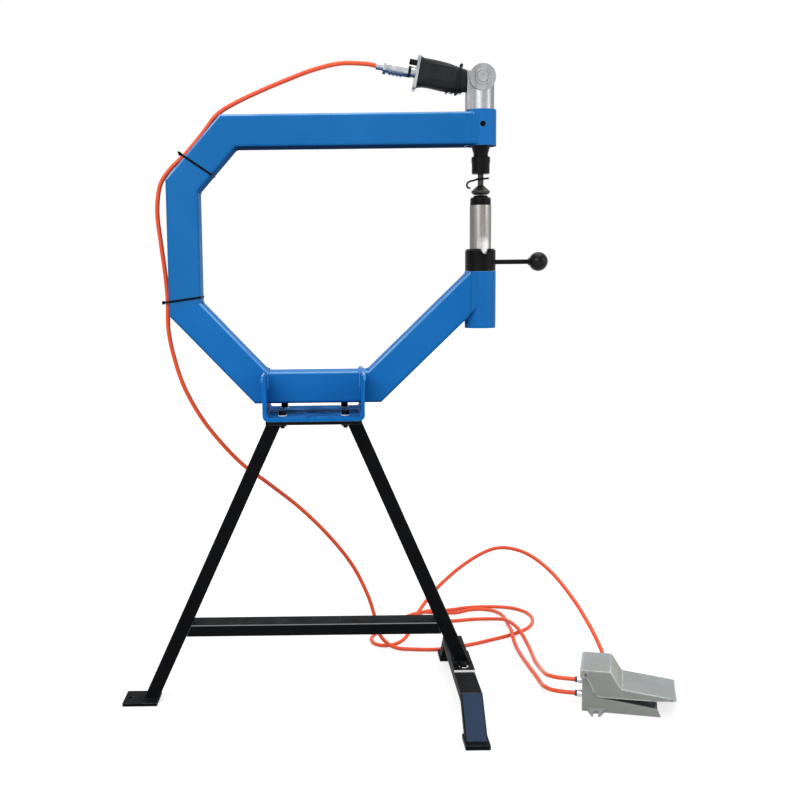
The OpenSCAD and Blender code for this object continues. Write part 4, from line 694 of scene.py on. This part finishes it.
def place_noise(tree, scale, detail, stretch=None):
    """Noise laid through space by the place on the object."""
    place = add_node(tree, "TexCoord", {}).outputs["Object"]
    if stretch:
        place = add_node(tree, "Mapping", {"Vector": place, "Scale": stretch}).outputs["Vector"]
    return add_node(tree, "TexNoise", {"Vector": place, "Scale": scale, "Detail": detail}).outputs["Fac"]


def ramp_between(tree, source, low, high, first=0.0, last=1.0):
    """Clamps a value between two levels and spreads it, from 0 to 1 unless told otherwise."""
    ends = {"Value": source, "From Min": low, "From Max": high, "To Min": first, "To Max": last}
    return add_node(tree, "MapRange", ends).outputs["Result"]


def calc(tree, operation, first, second):
    """A math node; each side is a socket or a plain number."""
    return add_node(tree, "Math", {0: first, 1: second}, operation=operation).outputs["Value"]


def blend(tree, share, under, over):
    """Lays one colour over another, as far as the share says."""
    mix = add_node(tree, "Mix", {"Factor": share, "A": under, "B": over}, data_type="RGBA")
    return mix.outputs["Result"]


def shared_effect(gives, **ins):
    """Makes a node group of the function below it, with these inputs, their usual values and one output."""
    def made(build):
        tree = bpy.data.node_groups.new(build.__name__, "ShaderNodeTree")
        for label, value in ins.items():
            kind = FLOAT if isinstance(value, float) else COLOUR
            tree.interface.new_socket(label, in_out="INPUT", socket_type=kind).default_value = value
        tree.interface.new_socket(gives, in_out="OUTPUT", socket_type=COLOUR if gives == "Color" else FLOAT)
        result = build(tree, tree.nodes.new("NodeGroupInput").outputs)
        tree.links.new(result, tree.nodes.new("NodeGroupOutput").inputs[gives])
        return tree
    return made


# %% [markdown]
# The first groups say how a clean surface looks: its tone, its gloss, and the fine relief of a coat, of a
# lathe's tool or of pebbled rubber.


# %% Tone, gloss and relief
@shared_effect("Color", Scale=6.0, Light=(1, 1, 1, 1), Dark=(0, 0, 0, 1))
def tone_drift(tree, given):
    share = ramp_between(tree, place_noise(tree, given["Scale"], detail=4.0), 0.35, 0.65)
    return blend(tree, share, given["Dark"], given["Light"])


@shared_effect("Roughness", Scale=20.0, Smooth=0.25, Rough=0.45)
def patchy_gloss(tree, given):
    patch = place_noise(tree, given["Scale"], detail=5.0)
    return ramp_between(tree, patch, 0.3, 0.7, given["Smooth"], given["Rough"])


@shared_effect("Height", Scale=900.0)
def coat_skin(tree, given):
    return place_noise(tree, given["Scale"], detail=2.0)


@shared_effect("Height", Scale=1.0)
def lathe_lines(tree, given):
    return place_noise(tree, given["Scale"], detail=2.0, stretch=(4.0, 4.0, 520.0))


@shared_effect("Height", Scale=700.0)
def speckle(tree, given):
    place = add_node(tree, "TexCoord", {}).outputs["Object"]
    return add_node(tree, "TexVoronoi", {"Vector": place, "Scale": given["Scale"]}).outputs["Distance"]


print("clean surfaces:", [g.name for g in (tone_drift, patchy_gloss, coat_skin, lathe_lines, speckle)])

# %% [markdown]
# The others say what use and painted light do to it: streaks along a bar, edges that are worn on some
# finishes and painted highlight on others, and dust, painted top light and painted shade on top.


# %% Streaks, wear and dust
@shared_effect("Mask", Scale=1.0, Amount=0.5)
def long_streaks(tree, given):
    streaks = place_noise(tree, given["Scale"], detail=4.0, stretch=(150.0, 150.0, 5.0))
    return calc(tree, "MULTIPLY", ramp_between(tree, streaks, 0.42, 0.72), given["Amount"])


@shared_effect("Mask", Radius=0.001, Scale=90.0, Amount=0.5)
def edge_wear_and_highlight_mask(tree, given):
    rounder = add_node(tree, "Bevel", {"Radius": given["Radius"]}).outputs["Normal"]
    true_face = add_node(tree, "NewGeometry", {}).outputs["Normal"]
    facing = add_node(tree, "VectorMath", {0: rounder, 1: true_face}, operation="DOT_PRODUCT")
    edge = ramp_between(tree, facing.outputs["Value"], 0.99, 0.9)
    patchy = ramp_between(tree, place_noise(tree, given["Scale"], detail=5.0), 0.3, 0.5)
    return calc(tree, "MULTIPLY", calc(tree, "MULTIPLY", edge, patchy), given["Amount"])


@shared_effect("Mask", Scale=40.0, Amount=0.2)
def dust_and_top_light_mask(tree, given):
    own_face = add_node(tree, "TexCoord", {}).outputs["Normal"]
    flat_top = ramp_between(tree, add_node(tree, "SeparateXYZ", {0: own_face}).outputs["Z"], 0.75, 1.0)
    thin = ramp_between(tree, place_noise(tree, given["Scale"], detail=6.0), 0.35, 0.75)
    return calc(tree, "MULTIPLY", calc(tree, "MULTIPLY", flat_top, thin), given["Amount"])


print("node groups:", sorted(g.name for g in bpy.data.node_groups))

# %% [markdown]
# Colours are read in screen values and turned to the linear values that Blender works in. Each finish
# starts from the same recipe: a drifting tone and a patchy gloss, then streaks, an edge layer that is wear on
# the metals and painted highlight on the paints, a top layer of dust that on the frame and tubes is painted
# top light and on the saddle painted shade, painted shade under the paints, and a fine relief, each where
# asked.


# %% Finish recipe
STREAK_SCALE, EDGE_LAYER_SCALE, TOP_LAYER_SCALE = 1.0, 90.0, 40.0
STREAK_DULLS, TOP_LAYER_DULLS, UNDERSIDE_DULLS = 0.12, 0.5, 0.6


def linear(r, g, b):
    """A colour in 0 to 255 screen values, as a linear colour with full alpha."""
    def one(v):
        v /= 255
        return v / 12.92 if v <= 0.04045 else ((v + 0.055) / 1.055) ** 2.4
    return (one(r), one(g), one(b), 1.0)


def group_in(tree, group, **values):
    """Places a shared effect in a material with values of its own; returns what the effect gives out."""
    return add_node(tree, "Group", values, node_tree=group).outputs[0]


def facing_mask(tree, direction, low, high):
    """1 where a face looks along the direction in the piece's own axes, 0 where it looks elsewhere."""
    own_face = add_node(tree, "TexCoord", {}).outputs["Normal"]
    dot = add_node(tree, "VectorMath", {0: own_face, 1: direction}, operation="DOT_PRODUCT")
    return ramp_between(tree, dot.outputs["Value"], low, high)


def finish_recipe(name, light, dark, smooth, rough, metallic=0.0, specular=0.5, drift_scale=6.0,
                  gloss_scale=20.0, relief=None, relief_scale=700.0, relief_mm=0.02, soften_mm=0.0,
                  streak=None, streak_amount=0.5, edge_wear_and_highlight=None, edge_wear_and_highlight_amount=0.4, edge_wear_and_highlight_mm=1.2, dust_and_top_light=None,
                  dust_and_top_light_amount=0.2, painted_shade_below=None):
    """A material between two tones and two roughnesses; what is left at None is not laid on."""
    mat = bpy.data.materials.new(name)
    mat.use_nodes = True
    tree = mat.node_tree
    shader = tree.nodes["Principled BSDF"]
    colour = group_in(tree, tone_drift, Scale=drift_scale, Light=linear(*light), Dark=linear(*dark))
    gloss = group_in(tree, patchy_gloss, Scale=gloss_scale, Smooth=smooth, Rough=rough)
    layers = []
    if streak:
        mask = group_in(tree, long_streaks, Scale=STREAK_SCALE, Amount=streak_amount)
        layers.append((mask, streak, STREAK_DULLS))
    # The edge layer is wear on the metals; on the paints its pale colour is painted highlight, partly wear on
    # the black and grey ones.
    if edge_wear_and_highlight:
        mask = group_in(tree, edge_wear_and_highlight_mask, Radius=edge_wear_and_highlight_mm * MM, Scale=EDGE_LAYER_SCALE, Amount=edge_wear_and_highlight_amount)
        layers.append((mask, edge_wear_and_highlight, 0.0))
    # The top layer is dust; on the frame and tubes its pale blue is painted top light too, and on the saddle
    # its dark blue is painted shade.
    if dust_and_top_light:
        mask = group_in(tree, dust_and_top_light_mask, Scale=TOP_LAYER_SCALE, Amount=dust_and_top_light_amount)
        layers.append((mask, dust_and_top_light, TOP_LAYER_DULLS))
    # Faces that look down take a darker colour, which is painted shade, and a rougher gloss.
    if painted_shade_below:
        layers.append((facing_mask(tree, (0, 0, -1), 0.5, 0.9), painted_shade_below, UNDERSIDE_DULLS))
    for mask, over, dulls in layers:
        colour = blend(tree, mask, colour, linear(*over))
        if dulls:
            gloss = calc(tree, "ADD", gloss, calc(tree, "MULTIPLY", mask, dulls))
    feed(tree, shader, {"Base Color": colour, "Roughness": gloss, "Metallic": metallic,
                        "Specular IOR Level": specular})
    if relief:
        height = group_in(tree, relief, Scale=relief_scale)
        bump = add_node(tree, "Bump", {"Distance": relief_mm * MM, "Height": height})
        if soften_mm:
            soft = add_node(tree, "Bevel", {"Radius": soften_mm * MM})
            feed(tree, bump, {"Normal": soft.outputs["Normal"]})
        feed(tree, shader, {"Normal": bump.outputs["Normal"]})
    return mat


# %% [markdown]
# The paints come first. The frame wears a mid blue powder coat with a slight orange peel. Its tubes have
# mitres that were ground before painting, so they take a version without the pale edge layer. The three lower
# tubes take a slightly more saturated blue, painted light against the shade they stand in; the saddle is
# duller, with painted shade on its top; weld beads are glossier, and their lighter blue is a painted
# highlight. On the blue paints the pale edges are painted highlight and the pale tops painted top light over
# thin dust; on the black and grey paints the pale edges are partly wear and partly painted highlight; the
# undersides of all of them are painted shade. The stand is satin black and the foot valve a warm grey.
# Specular levels are low, because a thin even coat under soft light shows its own colour and not a grey veil.

# %% Paints
powder = {"relief": coat_skin, "relief_scale": 420, "relief_mm": 0.02}
# On the tubes the pale top layer is painted top light over thin dust, and the dark undersides are painted
# shade.
tube_coat = {**powder, "specular": 0.03, "drift_scale": 5.0, "dust_and_top_light": (112, 160, 202), "dust_and_top_light_amount": 0.5,
             "painted_shade_below": (8, 44, 88)}
# On the valve the darker undersides are painted shade.
cast_coat = {"specular": 0.2, "drift_scale": 12.0, "relief": coat_skin, "relief_scale": 380,
             "relief_mm": 0.05, "dust_and_top_light": (154, 164, 172), "dust_and_top_light_amount": 0.8, "painted_shade_below": (70, 72, 70)}
# The frame paint's pale edges are a painted highlight, its pale tops painted top light over thin dust, and
# its dark undersides painted shade.
frame_blue = finish_recipe("frame_blue_coat", (31, 114, 187), (21, 104, 177), 0.34, 0.46, specular=0.07,
                           drift_scale=5.0, soften_mm=1.0, edge_wear_and_highlight=(112, 166, 214), edge_wear_and_highlight_amount=0.6, edge_wear_and_highlight_mm=1.6,
                           dust_and_top_light=(120, 160, 196), dust_and_top_light_amount=0.25, painted_shade_below=(6, 50, 100), **powder)
tube_blue = finish_recipe("frame_blue_tubes", (35, 112, 179), (25, 103, 171), 0.42, 0.56, **tube_coat)
# The lower tubes' more saturated blue is painted light against the shade they stand in.
painted_light_lower_blue = finish_recipe("frame_blue_lower_painted_light", (30, 112, 186), (21, 104, 178), 0.42, 0.56, **tube_coat)
# The saddle's dark top layer is painted shade on the plate under the tube, its pale edges a painted highlight
# and its dark undersides painted shade.
saddle_blue = finish_recipe("frame_blue_saddle", (14, 106, 184), (8, 98, 174), 0.5, 0.62, specular=0.03,
                            soften_mm=1.0, edge_wear_and_highlight=(70, 150, 214), edge_wear_and_highlight_amount=0.6, edge_wear_and_highlight_mm=1.8,
                            dust_and_top_light=(34, 74, 106), dust_and_top_light_amount=0.95, painted_shade_below=(6, 50, 100), **powder)
# The beads' lighter blue is a painted highlight.
painted_highlight_welds = finish_recipe("frame_blue_welds_painted_highlight", (44, 134, 206), (24, 114, 190), 0.1, 0.2, specular=0.45,
                          drift_scale=90.0, **{**powder, "relief_mm": 0.03})
# The stand's pale edges are partly wear and partly painted highlight; its darker undersides are painted
# shade.
stand_black = finish_recipe("stand_black_coat", (12, 13, 15), (7, 8, 10), 0.45, 0.6, specular=0.04,
                            drift_scale=8.0, soften_mm=0.8, edge_wear_and_highlight=(104, 112, 120), edge_wear_and_highlight_amount=0.7,
                            edge_wear_and_highlight_mm=1.6, dust_and_top_light=(34, 41, 43), dust_and_top_light_amount=0.3, painted_shade_below=(5, 5, 6),
                            **{**powder, "relief_mm": 0.03})
# The valve's and treadle's pale edges are partly wear and partly painted highlight.
valve_grey = finish_recipe("valve_grey_coat", (149, 153, 149), (139, 142, 135), 0.36, 0.50, soften_mm=0.9,
                           edge_wear_and_highlight=(206, 209, 206), edge_wear_and_highlight_amount=0.8, edge_wear_and_highlight_mm=2.0, **cast_coat)
treadle_grey = finish_recipe("valve_grey_treadle", (149, 153, 149), (139, 142, 135), 0.36, 0.50,
                             soften_mm=2.0, edge_wear_and_highlight=(236, 239, 239), edge_wear_and_highlight_amount=1.0, edge_wear_and_highlight_mm=4.6, **cast_coat)
print("paints:", frame_blue.name, tube_blue.name, saddle_blue.name, stand_black.name, valve_grey.name)

# %% [markdown]
# Then the bare and blackened metals. The post is drawn bar with long grey-brown streaks; fittings are bright
# nickel; the head and end plate are machined alloy; barrel, retainer, anvil die and collar are chemically
# blacked, which leaves a dark oily skin that rubs through on sharp edges; the hammer's die is hardened and
# brown-grey.

# %% Metals
turned = {"relief": lathe_lines, "relief_scale": 1.0, "relief_mm": 0.006, "soften_mm": 0.4}
plated = {"drift_scale": 60.0, "relief": coat_skin, "relief_scale": 300, "relief_mm": 0.02}
post_steel = finish_recipe("drawn_post_steel", (160, 157, 155), (134, 131, 129), 0.22, 0.36, metallic=1.0,
                           gloss_scale=40.0, streak=(84, 76, 70), streak_amount=0.8,
                           **{**turned, "relief_mm": 0.004, "soften_mm": 0.3})
bright_steel = finish_recipe("bright_nickel", (206, 208, 212), (164, 168, 174), 0.12, 0.26, metallic=1.0,
                             gloss_scale=90.0, soften_mm=0.3, edge_wear_and_highlight=(214, 216, 220), edge_wear_and_highlight_amount=0.35,
                             edge_wear_and_highlight_mm=0.8, **{**plated, "relief_scale": 260, "relief_mm": 0.01})
cast_alloy = finish_recipe("machined_alloy", (166, 168, 170), (140, 142, 144), 0.30, 0.44, metallic=0.9,
                           drift_scale=18.0, relief=coat_skin, relief_scale=500, relief_mm=0.03,
                           soften_mm=0.8, streak=(104, 103, 102), streak_amount=0.6, edge_wear_and_highlight=(206, 208, 210),
                           edge_wear_and_highlight_amount=0.5)
black_steel = finish_recipe("blacked_steel", (18, 18, 19), (9, 9, 10), 0.32, 0.5, metallic=0.2, specular=0.08,
                            drift_scale=30.0, edge_wear_and_highlight=(72, 70, 68), edge_wear_and_highlight_amount=0.4, **turned)
die_steel = finish_recipe("hardened_die_steel", (60, 58, 54), (38, 36, 34), 0.34, 0.5, metallic=0.8,
                          drift_scale=40.0, edge_wear_and_highlight=(120, 117, 112), edge_wear_and_highlight_amount=0.5, **turned)
dull_zinc = finish_recipe("dull_zinc", (112, 114, 113), (88, 90, 89), 0.4, 0.55, metallic=0.8, soften_mm=0.4,
                          **plated)
white_zinc = finish_recipe("white_zinc", (232, 236, 236), (214, 218, 218), 0.35, 0.5, metallic=0.2,
                           soften_mm=0.3, **plated)

# %% [markdown]
# Low on its front the post is scuffed bright where the collar has rubbed it. The patch is an oval about a
# place on the post, broken up by streaks; it is tied to the object's own place, so it rises with the post.


# %% Scuffed patch
def overlaid(source, name, colour, mask_in):
    """A copy of a finish that takes another colour as far as a mask says; mask_in builds it in the copy."""
    mat = source.copy()
    mat.name = name
    tree = mat.node_tree
    base = tree.nodes["Principled BSDF"].inputs["Base Color"]
    tree.links.new(blend(tree, mask_in(tree), base.links[0].from_socket, linear(*colour)), base)
    return mat


SCUFF_SPREAD, SCUFF_EVEN = (15, 30, 20), 0.15
scuff_middle = (axis_x + 4, -22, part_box("cam_collar")[1].z / MM + 4)


def scuff_mask(tree):
    """An oval about the scuff's middle that thins out towards its rim and is broken by streaks."""
    place = add_node(tree, "TexCoord", {}).outputs["Object"]
    oval = add_node(tree, "Mapping", {"Vector": place, "Location": Vector(scuff_middle) * MM,
                                      "Scale": Vector(SCUFF_SPREAD) * MM}, vector_type="TEXTURE")
    away = add_node(tree, "VectorMath", {0: oval.outputs["Vector"]}, operation="LENGTH").outputs["Value"]
    streaks = group_in(tree, long_streaks, Scale=1.6, Amount=1.0)
    broken = calc(tree, "ADD", calc(tree, "MULTIPLY", streaks, 1 - SCUFF_EVEN), SCUFF_EVEN)
    return calc(tree, "MULTIPLY", ramp_between(tree, away, 1.0, 0.35), broken)


rubbed_post = overlaid(post_steel, "rubbed_post_steel", (250, 250, 250), scuff_mask)
print("metals:", rubbed_post.name, bright_steel.name, cast_alloy.name, black_steel.name, die_steel.name)

# %% [markdown]
# Rubber, plastics and the hose. The grip is matt and pebbled, the knob and ties are smooth black, the release
# rings on the fittings are a dark violet, and the hose is a smooth orange tube that takes a soft highlight.

# %% Rubber, plastics and hose
moulded = {"relief": coat_skin, "relief_scale": 300, "relief_mm": 0.01}
grip_rubber = finish_recipe("grip_rubber", (34, 35, 38), (23, 24, 27), 0.52, 0.68, specular=0.14,
                            drift_scale=25.0, relief=speckle, relief_scale=520, relief_mm=0.16,
                            dust_and_top_light=(62, 63, 66), dust_and_top_light_amount=0.4)
black_plastic = finish_recipe("moulded_black", (13, 14, 16), (8, 8, 10), 0.16, 0.28, specular=0.14,
                              drift_scale=20.0, soften_mm=0.4, **moulded)
ring_violet = finish_recipe("release_ring_violet", (58, 50, 98), (42, 36, 78), 0.25, 0.4, specular=0.3,
                            soften_mm=0.3, **moulded)
tie_black = finish_recipe("tie_nylon", (8, 8, 12), (5, 5, 8), 0.5, 0.6, specular=0.05, drift_scale=30.0)
hose_skin = finish_recipe("hose_skin", (246, 92, 48), (233, 78, 40), 0.28, 0.38, specular=0.3,
                          drift_scale=5.0)
strap_grey = finish_recipe("grip_tie_nylon", (27, 28, 30), (20, 21, 23), 0.5, 0.6, specular=0.1,
                           drift_scale=30.0)
print("soft finishes:", grip_rubber.name, black_plastic.name, ring_violet.name, hose_skin.name)

# %% [markdown]
# Some places differ from the paint round them, as painted light. The flange's front face is painted near
# white, a painted highlight that shows as a bright line, and the sloping flats of the cross foot carry a
# painted slate-blue reflection that stops short of their edges. The rounded upper edges of the frame's tubes
# and of the crossbar are paler, a painted highlight. The flanks of the post and the head are painted darker,
# a painted shade, and the underside of the coupler takes a painted reflection in slate grey. All are masks by
# the direction that a face looks in on its own piece, so they stay where they are from every side and in
# every pose.


# %% Faces that differ
def face_variant(source, name, directions, low, high, colour, keep_edge_mm=0.0, broken_scale=None):
    """A copy of a finish whose faces along the given directions take another colour. It can stop short of
    their edges, and it can be broken into patches."""
    def mask_in(tree):
        mask = facing_mask(tree, directions[0], low, high)
        for direction in directions[1:]:
            mask = calc(tree, "MAXIMUM", mask, facing_mask(tree, direction, low, high))
        if keep_edge_mm:
            edges = group_in(tree, edge_wear_and_highlight_mask, Radius=keep_edge_mm * MM, Scale=60.0, Amount=1.0)
            mask = calc(tree, "MULTIPLY", mask, calc(tree, "SUBTRACT", 1.0, edges))
        if broken_scale:
            patches = group_in(tree, patchy_gloss, Scale=broken_scale, Smooth=0.3, Rough=1.0)
            mask = calc(tree, "MULTIPLY", mask, patches)
        return mask
    return overlaid(source, name, colour, mask_in)


SLANT = 0.7071
BROKEN_SCALE = 9.0
foot_fall = Vector((0, 40.0, 45.0)).normalized()
foot_flats = [(0, side * foot_fall.y, foot_fall.z) for side in (-1, 1)]
upper_rounds = [(0, y, SLANT) for y in (-SLANT, SLANT)]
tube_rounds = upper_rounds + [(x, y, 0.5) for x in (-0.5, 0.5) for y in (-SLANT, SLANT)]
flanks = [(-1, 0, 0), (1, 0, 0)]
# The flange's near-white front face is a painted highlight.
painted_highlight_flange = face_variant(stand_black, "stand_black_painted_highlight_flange", [(0, -1, 0)], 0.9, 0.98, (252, 253, 254))
# The slate-blue on the foot's sloping flats is a painted reflection.
painted_reflection_foot = face_variant(stand_black, "stand_black_painted_reflection", foot_flats, 0.93, 0.985, (46, 61, 82),
                           keep_edge_mm=2.4)
# The pale rounded upper edges of the tubes are a painted highlight.
painted_highlight_tubes = face_variant(tube_blue, "frame_blue_tubes_painted_highlights", tube_rounds, 0.9, 0.99,
                          (138, 182, 220), broken_scale=BROKEN_SCALE)
painted_highlight_lower = face_variant(painted_light_lower_blue, "frame_blue_lower_painted_highlights", tube_rounds, 0.9, 0.99,
                          (138, 184, 224), broken_scale=BROKEN_SCALE)
# The crossbar's pale upper edge is a painted highlight.
painted_highlight_bar = face_variant(stand_black, "stand_black_painted_highlight_bar", upper_rounds, 0.9, 0.985, (128, 130, 132))
# The darker flanks of the head and the post are painted shade.
painted_shade_head = face_variant(cast_alloy, "machined_alloy_painted_shade_flanks", flanks, 0.6, 0.97, (128, 128, 130))
painted_shade_post = face_variant(rubbed_post, "drawn_post_painted_shade_flanks", flanks, 0.7, 0.98, (104, 96, 90))
# The coupler's slate-grey underside is a painted reflection.
painted_reflection_coupler = face_variant(bright_steel, "bright_nickel_painted_reflection", [(0, 0, -1)], 0.1, 0.5, (98, 108, 126))
print("variants:", [m.name for m in (painted_highlight_flange, painted_reflection_foot, painted_highlight_tubes, painted_highlight_lower, painted_highlight_bar, painted_shade_head,
                                     painted_shade_post, painted_reflection_coupler)])

# %% [markdown]
# Each solid takes the finish of its material slot, and a few take a finish of their own. New pieces take
# theirs in the same way.

# %% Give out the finishes
finishes = {"frame_paint": frame_blue, "stand_paint": stand_black, "black_steel": black_steel,
            "bright_steel": bright_steel, "cast_alloy": cast_alloy, "grip_rubber": grip_rubber,
            "black_plastic": black_plastic, "valve_paint": valve_grey, "hose_skin": hose_skin}
own_finish = {"anvil_post": painted_shade_post, "leg_flange": painted_highlight_flange, "front_foot_bend": painted_reflection_foot,
              "rear_foot_bend": painted_reflection_foot, "release_rings": ring_violet, "treadle_pin": dull_zinc,
              "saddle_bracket": saddle_blue, "saddle_washers": white_zinc, "hammer_die": die_steel,
              "hammer_head": painted_shade_head, "crossbar": painted_highlight_bar, "treadle": treadle_grey}
own_finish.update({name: painted_highlight_tubes for name in ("upper_arm_tube", "upper_corner_tube", "column_tube")})
own_finish.update({name: painted_highlight_lower for name in ("lower_corner_tube", "base_tube", "front_diagonal_tube")})
own_finish.update({name: painted_reflection_coupler for name in ("coupler_body", "coupler_sleeve", "inlet_nipple")})
for part in frame["record"]["subparts"]:
    mesh = nodes[part["node"]].data
    mesh.materials.clear()
    mesh.materials.append(own_finish.get(part["node"], finishes[part["material_slot"]]))
for piece, finish in ((hammer_line, hose_skin), (supply_line, hose_skin), (frame_welds, painted_highlight_welds),
                      (corner_welds, tube_blue), (fillets, tube_blue), (stand_welds, stand_black),
                      (grip, grip_rubber), (hose_ties, tie_black), (grip_strap, strap_grey),
                      (wire_clip, black_steel), (washers, bright_steel), (spring, bright_steel)):
    piece.data.materials.append(finish)
print("finishes:", len(finishes) + len(set(own_finish.values())))

# %% [markdown]
# A plain pale floor and soft light from large lamps. Only the camera, mirror-like rays and rays through glass
# see the full white of the background; the object itself is lit at a plain level, so its colours come out
# about as written. The floor brightens with distance, so that it runs into the backdrop without a horizon.

# %% Floor
scene.view_settings.view_transform = "Standard"
FLOOR_R, FLOOR_DROP = 14.0, 0.5
FADE = {"From Min": 0.5, "From Max": 2.2, "To Min": 0.68, "To Max": 1.0}
WHITE, FLOOR_GREY = (1, 1, 1, 1), (0.45, 0.45, 0.45, 1)
floor_mesh = bpy.data.meshes.new("studio_floor")
floor_corners = [(FLOOR_R * x, FLOOR_R * y, 0) for x, y in ((-1, -1), (1, -1), (1, 1), (-1, 1))]
floor_mesh.from_pydata(floor_corners, [], [(0, 1, 2, 3)])
floor = bpy.data.objects.new("studio_floor", floor_mesh)
floor.location.z = -FLOOR_DROP * MM
scene.collection.objects.link(floor)


def seen_white(tree):
    """1 for rays that should meet the white background: from the camera, off metal, or through glass."""
    path = add_node(tree, "LightPath", {}).outputs
    seen = calc(tree, "MAXIMUM", path["Is Camera Ray"], path["Is Glossy Ray"])
    return calc(tree, "MAXIMUM", seen, path["Is Transmission Ray"])


floor_mat = bpy.data.materials.new("pale_floor")
floor_mat.use_nodes = True
tree = floor_mat.node_tree
where = add_node(tree, "NewGeometry", {}).outputs["Position"]
distance = add_node(tree, "VectorMath", {0: where}, operation="LENGTH").outputs["Value"]
fade = add_node(tree, "MapRange", {"Value": distance, **FADE}, interpolation_type="SMOOTHSTEP")
lift = calc(tree, "MULTIPLY", seen_white(tree), fade.outputs["Result"])
feed(tree, tree.nodes["Principled BSDF"], {
    "Base Color": FLOOR_GREY, "Roughness": 0.9, "Specular IOR Level": 0.0, "Emission Color": WHITE,
    "Emission Strength": lift})
floor_mesh.materials.append(floor_mat)
print("floor %.0f m wide" % (2 * FLOOR_R))

# %% [markdown]
# The light could be one bright dome, but then nothing would have form. A weak even dome fills the shadows,
# and three large soft lamps shape the object: one in front on the left, one above, and a weaker one on the
# right that draws the second highlight down the round parts.

# %% World and lamps
AMBIENT = 0.42
world = bpy.data.worlds.new("studio_world")
scene.world = world
world.use_nodes = True
tree = world.node_tree
dome = ramp_between(tree, seen_white(tree), 0.0, 1.0, first=AMBIENT)
feed(tree, tree.nodes["Background"], {"Color": WHITE, "Strength": dome})


def soft_lamp(name, place, target, size, watts):
    """A large rectangular lamp that looks at its target."""
    data = bpy.data.lights.new(name, "AREA")
    data.shape = "RECTANGLE"
    data.size, data.size_y = size
    data.energy = watts
    lamp = bpy.data.objects.new(name, data)
    scene.collection.objects.link(lamp)
    lamp.location = place
    lamp.rotation_euler = (Vector(target) - Vector(place)).to_track_quat("-Z", "Y").to_euler()


soft_lamp("front_softbox", (-1.3, -2.6, 2.2), (0.0, 0.0, 0.6), (2.0, 2.0), 60)
soft_lamp("top_softbox", (0.2, 0.2, 3.0), (0.0, 0.0, 0.5), (2.4, 2.4), 46)
soft_lamp("right_softbox", (2.6, -1.2, 1.4), (0.0, 0.0, 0.7), (1.4, 2.0), 22)
